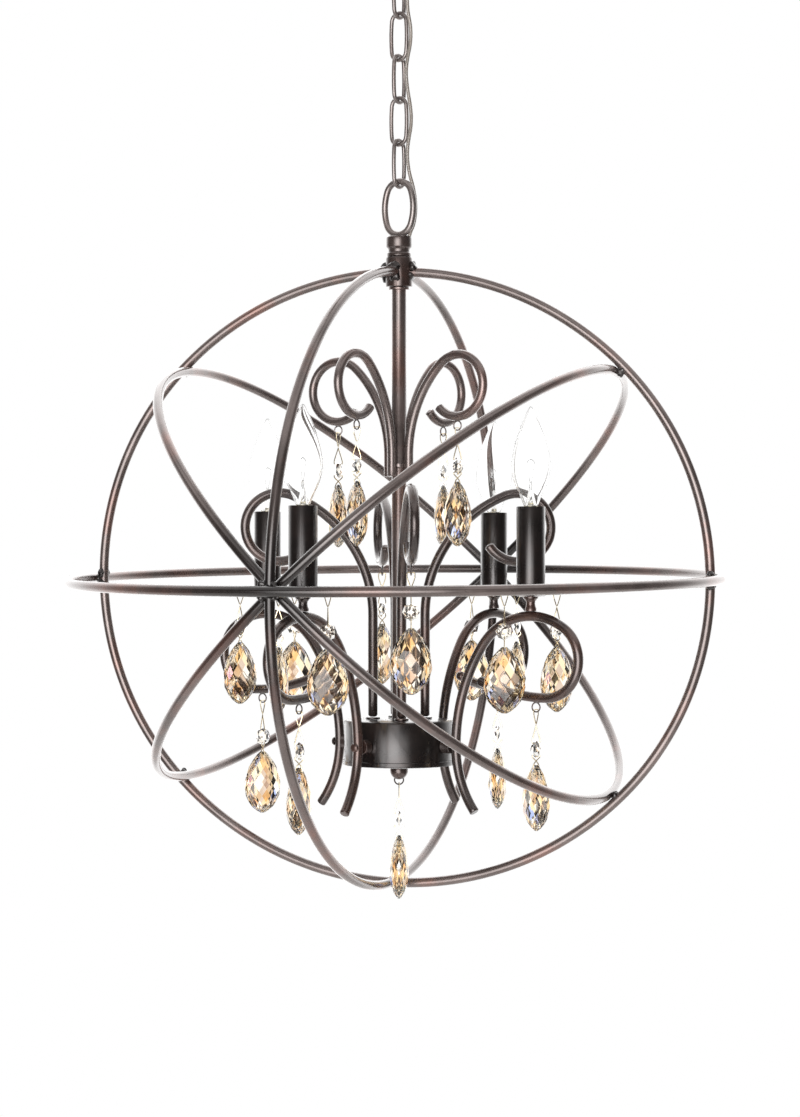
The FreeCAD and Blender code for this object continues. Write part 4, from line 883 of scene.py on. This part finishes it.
def octagon_bead():
    """Eight rings of eight points, some turned by half a step. Rings in step are joined by
    quads, and the others by triangles."""
    rings = np.array([(-3.3, 1.7, 0.5), (-2.8, 3.7, 0.0), (-1.7, 5.7, 0.5), (-0.4, 7.0, 0.0),
                      (0.4, 7.0, 0.0), (1.7, 5.7, 0.5), (2.8, 3.7, 0.0), (3.3, 1.7, 0.5)])
    y, radius, offset = rings.T[:, :, None]
    here = np.arange(8)
    turns = 2 * math.pi * (here + offset) / 8
    points = np.stack([radius * np.cos(turns), y + 0 * turns, BEAD_LEVEL + radius * np.sin(turns)],
                      axis=2).reshape(-1, 3)
    faces = [list(range(8)), list(range(63, 55, -1))]
    for row, turned_on in enumerate(np.diff(rings[:, 2])):
        a, b = row * 8 + here, row * 8 + np.roll(here, -1)
        c, d = a + 8, b + 8
        if turned_on == 0:
            facets = [(a, b, d, c)]
        elif turned_on < 0:
            facets = [(a, d, c), (a, b, d)]
        else:
            facets = [(a, b, c), (b, d, c)]
        for corners in facets:
            faces.extend(np.stack(corners, axis=1).tolist())
    return points, faces


BEAD_FORM = octagon_bead()


# Pendants: brass wire pins bent by hand. A closed loop hangs in the eyelet, a fork grips
# the bead, and a tie joins the bead to the drop, so that each can turn a little.
BRASS = plain_metal("pin_brass", (0.74, 0.58, 0.34), (0.94, 0.84, 0.64), 0.18, 90.0)
PIN_WIRE = 0.45


def in_yz(points, faces):
    """Moves a form from the XZ plane to the YZ plane."""
    return points[:, [1, 0, 2]], faces


def wire_loop(corners, bend=0.22):
    """A closed wire loop in the YZ plane, each corner eased by a parabola between points
    that lie a share of the way to its neighbours."""
    corners = np.array([(y, 0, z) for y, z in corners], float)
    start = (corners + (np.roll(corners, 1, axis=0) - corners) * bend)[:, None]
    end = (corners + (np.roll(corners, -1, axis=0) - corners) * bend)[:, None]
    u = np.array([0.0, 0.5, 1.0])[:, None]
    path = (1 - u) ** 2 * start + 2 * u * (1 - u) * corners[:, None] + u * u * end
    return in_yz(*tube(path.reshape(-1, 3), PIN_WIRE, 7, closed=True))


def wire_hook(half):
    """An open wire in the YZ plane, through given points of one half and its mirror."""
    corners = half + [(-y, z) for y, z in half[-2::-1]]
    return in_yz(*tube(smooth([(y, 0, z) for y, z in corners], 3), PIN_WIRE, 7))


PIN_LOOP = wire_loop([(-3.1, 1.85), (3.1, 1.85), (3.1, -2.2), (0, -10.6), (-3.1, -2.2)])
PIN_FORK = wire_hook([(3.1, -24.5), (3.55, -22.5), (2.2, -17.5), (0.3, -12), (0, -10.6)])
TIE_TOP = wire_hook([(3.1, -33.4), (3.5, -35.2), (1.6, -37.2), (0.2, -38.4), (0, -38.7)])
TIE_FOOT = wire_hook([(2.3, -45.4), (2.8, -43.6), (1.6, -40.4), (0.2, -38.9), (0, -38.6)])


def pendant(name, x, y, level, swing, yaw):
    """One pendant: the pin's loop lies square to the swing direction, the rest faces yaw."""
    forms = [(turn_z(PIN_LOOP[0], swing), PIN_LOOP[1], 0)]
    for form, slots in ((PIN_FORK, 0), (TIE_TOP, 0), (TIE_FOOT, 0), (BEAD_FORM, 1),
                        (DROP_FORM, DROP_TINTS_AND_GLINTS)):
        forms.append((turn_z(form[0], yaw), form[1], slots))
    points, faces, slots = join(*forms)
    points = lift(points + np.array([x, y, 0]), level)
    piece(name + "_form", (points, faces, slots), [BRASS, BEAD, CRYSTAL, AMBER_AND_GLINT, PAINTED_DARK_FACET, PAINTED_ORANGE_GLINT, PAINTED_BLUE_GLINT],
          name, name, flat=True)


PAN_TURN = {"front_right": 28, "front_left": -35, "rear_left": 20, "rear_right": -39}
UPPER_YAW = {"front_right": -21, "front_left": 55, "rear_left": -41, "rear_right": 39}
LOWER_YAW = {"front_right": -25, "front_left": 12, "rear_left": 60, "rear_right": 39}
FIRST_PAN_YAW = {"front_right": 40, "front_left": 5, "rear_left": 18, "rear_right": 80}
SECOND_PAN_YAW = {"front_right": 0, "front_left": 85, "rear_left": 40, "rear_right": 20}
PAN_HOLE_REACH, PAN_HOLE_LEVEL = 24.1, -11.8
hook_drop = EYELET - EYELET_WIRE
for name, compass in DIRECTIONS.items():
    direction = compass - 90
    out = np.array([math.cos(math.radians(direction)), math.sin(math.radians(direction))])
    pendant("pendant_upper_" + name, *(UPPER["curl_x"] * out), upper_ring - hook_drop, direction,
            direction + UPPER_YAW[name])
    pendant("pendant_lower_" + name, *(HOOK_REACH * out), arm_ring - hook_drop, direction,
            direction + LOWER_YAW[name])
    turn = math.radians(PAN_TURN[name])
    aside = PAN_HOLE_REACH * np.array([math.cos(turn), math.sin(turn)])
    for mark, sign, yaw in (("a", 1, FIRST_PAN_YAW[name]), ("b", -1, SECOND_PAN_YAW[name])):
        pendant("pendant_pan_%s_%s" % (name, mark), *(CANDLE_REACH * out + sign * aside),
                PAN_HOLE_LEVEL, PAN_TURN[name] + 90, yaw)
for name, yaw in (("front", 0), ("rear", 60)):
    direction = math.radians(MIDDLE_DIRECTIONS[name] - 90)
    pendant("pendant_middle_" + name, MIDDLE["curl_x"] * math.cos(direction),
            MIDDLE["curl_x"] * math.sin(direction), middle_ring - hook_drop,
            MIDDLE_DIRECTIONS[name] - 90, yaw)
pendant("pendant_finial", 0, 0, finial_ring - hook_drop, 0, 90)


# Camera: level with the middle of the ball and in front of it. The focal length and the
# small shift give the photograph's scale and horizon.
CAMERA_DISTANCE = 2.0
PHOTO_WIDTH = 800
PHOTO_HEIGHT = 1117
FOCAL_PIXELS = 2439.0
HORIZON_ROW = 579.0
AXIS_COLUMN = 399.0
camera_data = bpy.data.cameras.new("camera")
camera = bpy.data.objects.new("camera", camera_data)
scene.collection.objects.link(camera)
camera.location = (0, -CAMERA_DISTANCE, -DROP * MM)
camera.rotation_euler = (math.pi / 2, 0, 0)
camera_data.sensor_fit = "HORIZONTAL"
camera_data.sensor_width = 36.0
camera_data.lens = 36.0 * FOCAL_PIXELS / PHOTO_WIDTH
camera_data.shift_x = (PHOTO_WIDTH / 2 - AXIS_COLUMN) / PHOTO_WIDTH
camera_data.shift_y = (HORIZON_ROW - PHOTO_HEIGHT / 2) / PHOTO_WIDTH
camera_data.clip_end = 100
scene.camera = camera


# Studio: white for the camera. Metal mirrors a soft box in front, a little to the left, and
# pale walls behind. Cut crystal shows eight white panes between dark bars, and thin glass,
# which light has passed more than three times, shows plain white.
MIRRORED, PANES = 6.0, 1.3
world = bpy.data.worlds.new("studio")
scene.world = world
world.use_nodes = True
sky = world.node_tree
sky.nodes.clear()
split = add(sky, "ShaderNodeSeparateXYZ")
sky.links.new(add(sky, "ShaderNodeTexCoord").outputs["Generated"], split.inputs[0])
bearing = maths(sky, "ARCTAN2", split.outputs["X"], maths(sky, "MULTIPLY", split.outputs["Y"], -1))
turn_share = spread(sky, bearing, -math.pi, math.pi)
climb_share = spread(sky, split.outputs["Z"], -1, 1)


def by_bearing(stops, peak=1.0):
    """Brightness by the bearing in degrees, with straight ahead of the lamp at 0."""
    return ramp(sky, turn_share, [(degrees / 360 + 0.5, grey(value / peak))
                                  for degrees, value in stops])


def by_climb(stops, peak=1.0):
    """Brightness by the height of the direction, from straight down at -1 to up at 1."""
    return ramp(sky, climb_share, [(rise / 2 + 0.5, grey(value / peak)) for rise, value in stops])


walls = by_bearing(((-180, 1.8), (-135, 1.8), (-112, 0.5), (-95, 0.03), (95, 0.03), (112, 0.5),
                    (135, 1.8), (180, 1.8)), MIRRORED)
above = by_climb(((-1, 0.5), (-0.7, 0.1), (0.5, 0.06), (0.62, 0.9), (0.8, 1.1), (1, 0.5)), MIRRORED)
box = maths(sky, "MULTIPLY", by_bearing(((-48, 0), (-30, 0.85), (-12, 1), (4, 0.8), (24, 0))),
            by_climb(((-0.6, 0), (-0.42, 0.9), (0.16, 0.9), (0.34, 0))))
mirrored = maths(sky, "MAXIMUM", box, maths(sky, "MAXIMUM", walls, above))
pane = maths(sky, "FRACT", maths(sky, "MULTIPLY", turn_share, 8))
bars = ramp(sky, pane, [(0.0, grey(1)), (0.37, grey(1)), (0.42, grey(0.02)), (0.58, grey(0.02)),
                        (0.63, grey(1)), (1.0, grey(1))])
band = by_climb(((-1, 0.03), (-0.6, 0.03), (-0.5, 1), (0.46, 1), (0.56, 0.04), (0.84, 0.04),
                 (0.9, 1)))
rays = add(sky, "ShaderNodeLightPath")
thin_glass = maths(sky, "GREATER_THAN", rays.outputs["Transmission Depth"], 3.5)
seen_through = maths(sky, "MAXIMUM", maths(sky, "MULTIPLY", bars, band),
                     maths(sky, "MULTIPLY", thin_glass, 1 / PANES))
mixed = None
for strength, source, switch in ((MIRRORED, mirrored, None),
                                 (PANES, seen_through, "Is Transmission Ray"),
                                 (1.0, None, "Is Camera Ray")):
    shade = add(sky, "ShaderNodeBackground", Strength=strength)
    shade.inputs["Color"].default_value = (1, 1, 1, 1)
    if source:
        sky.links.new(source, shade.inputs["Color"])
    if switch:
        mix = add(sky, "ShaderNodeMixShader")
        sky.links.new(rays.outputs[switch], mix.inputs[0])
        sky.links.new(mixed, mix.inputs[1])
        sky.links.new(shade.outputs[0], mix.inputs[2])
        mixed = mix.outputs[0]
    else:
        mixed = shade.outputs[0]
sky.links.new(mixed, add(sky, "ShaderNodeOutputWorld").inputs[0])


def soft_light(name, place, aim, width, height, power):
    """A soft box of a given size in metres and power in watts, turned to face its aim."""
    data = bpy.data.lights.new(name, "AREA")
    data.shape = "RECTANGLE"
    data.size, data.size_y, data.energy = width, height, power
    light = bpy.data.objects.new(name, data)
    light.location = place
    direction = Vector(aim) - Vector(place)
    light.rotation_euler = direction.to_track_quat("-Z", "Y").to_euler()
    scene.collection.objects.link(light)


ball_middle = (0, 0, -DROP * MM)
soft_light("key", (-0.45, -2.3, -0.2), ball_middle, 0.9, 1.2, 8)
soft_light("back_top", (0.3, 1.6, 1.1), ball_middle, 2.4, 2.0, 7)
scene.view_settings.view_transform = "Standard"


# Floor: a plain pale board, well below the lamp. It belongs to the studio, and is no part
# of the lamp.
FLOOR_REACH, FLOOR_LEVEL = 2.5, -2.4
floor_mesh = bpy.data.meshes.new("floor")
floor_mesh.from_pydata([(x * FLOOR_REACH, y * FLOOR_REACH, FLOOR_LEVEL)
                        for x, y in ((-1, -1), (1, -1), (1, 1), (-1, 1))], [], [(0, 1, 2, 3)])
floor = bpy.data.objects.new("floor", floor_mesh)
floor_material, _, floor_shader = new_material("floor")
floor_shader.inputs["Base Color"].default_value = (0.85, 0.85, 0.84, 1)
floor_shader.inputs["Roughness"].default_value = 0.8
floor_mesh.materials.append(floor_material)
scene.collection.objects.link(floor)
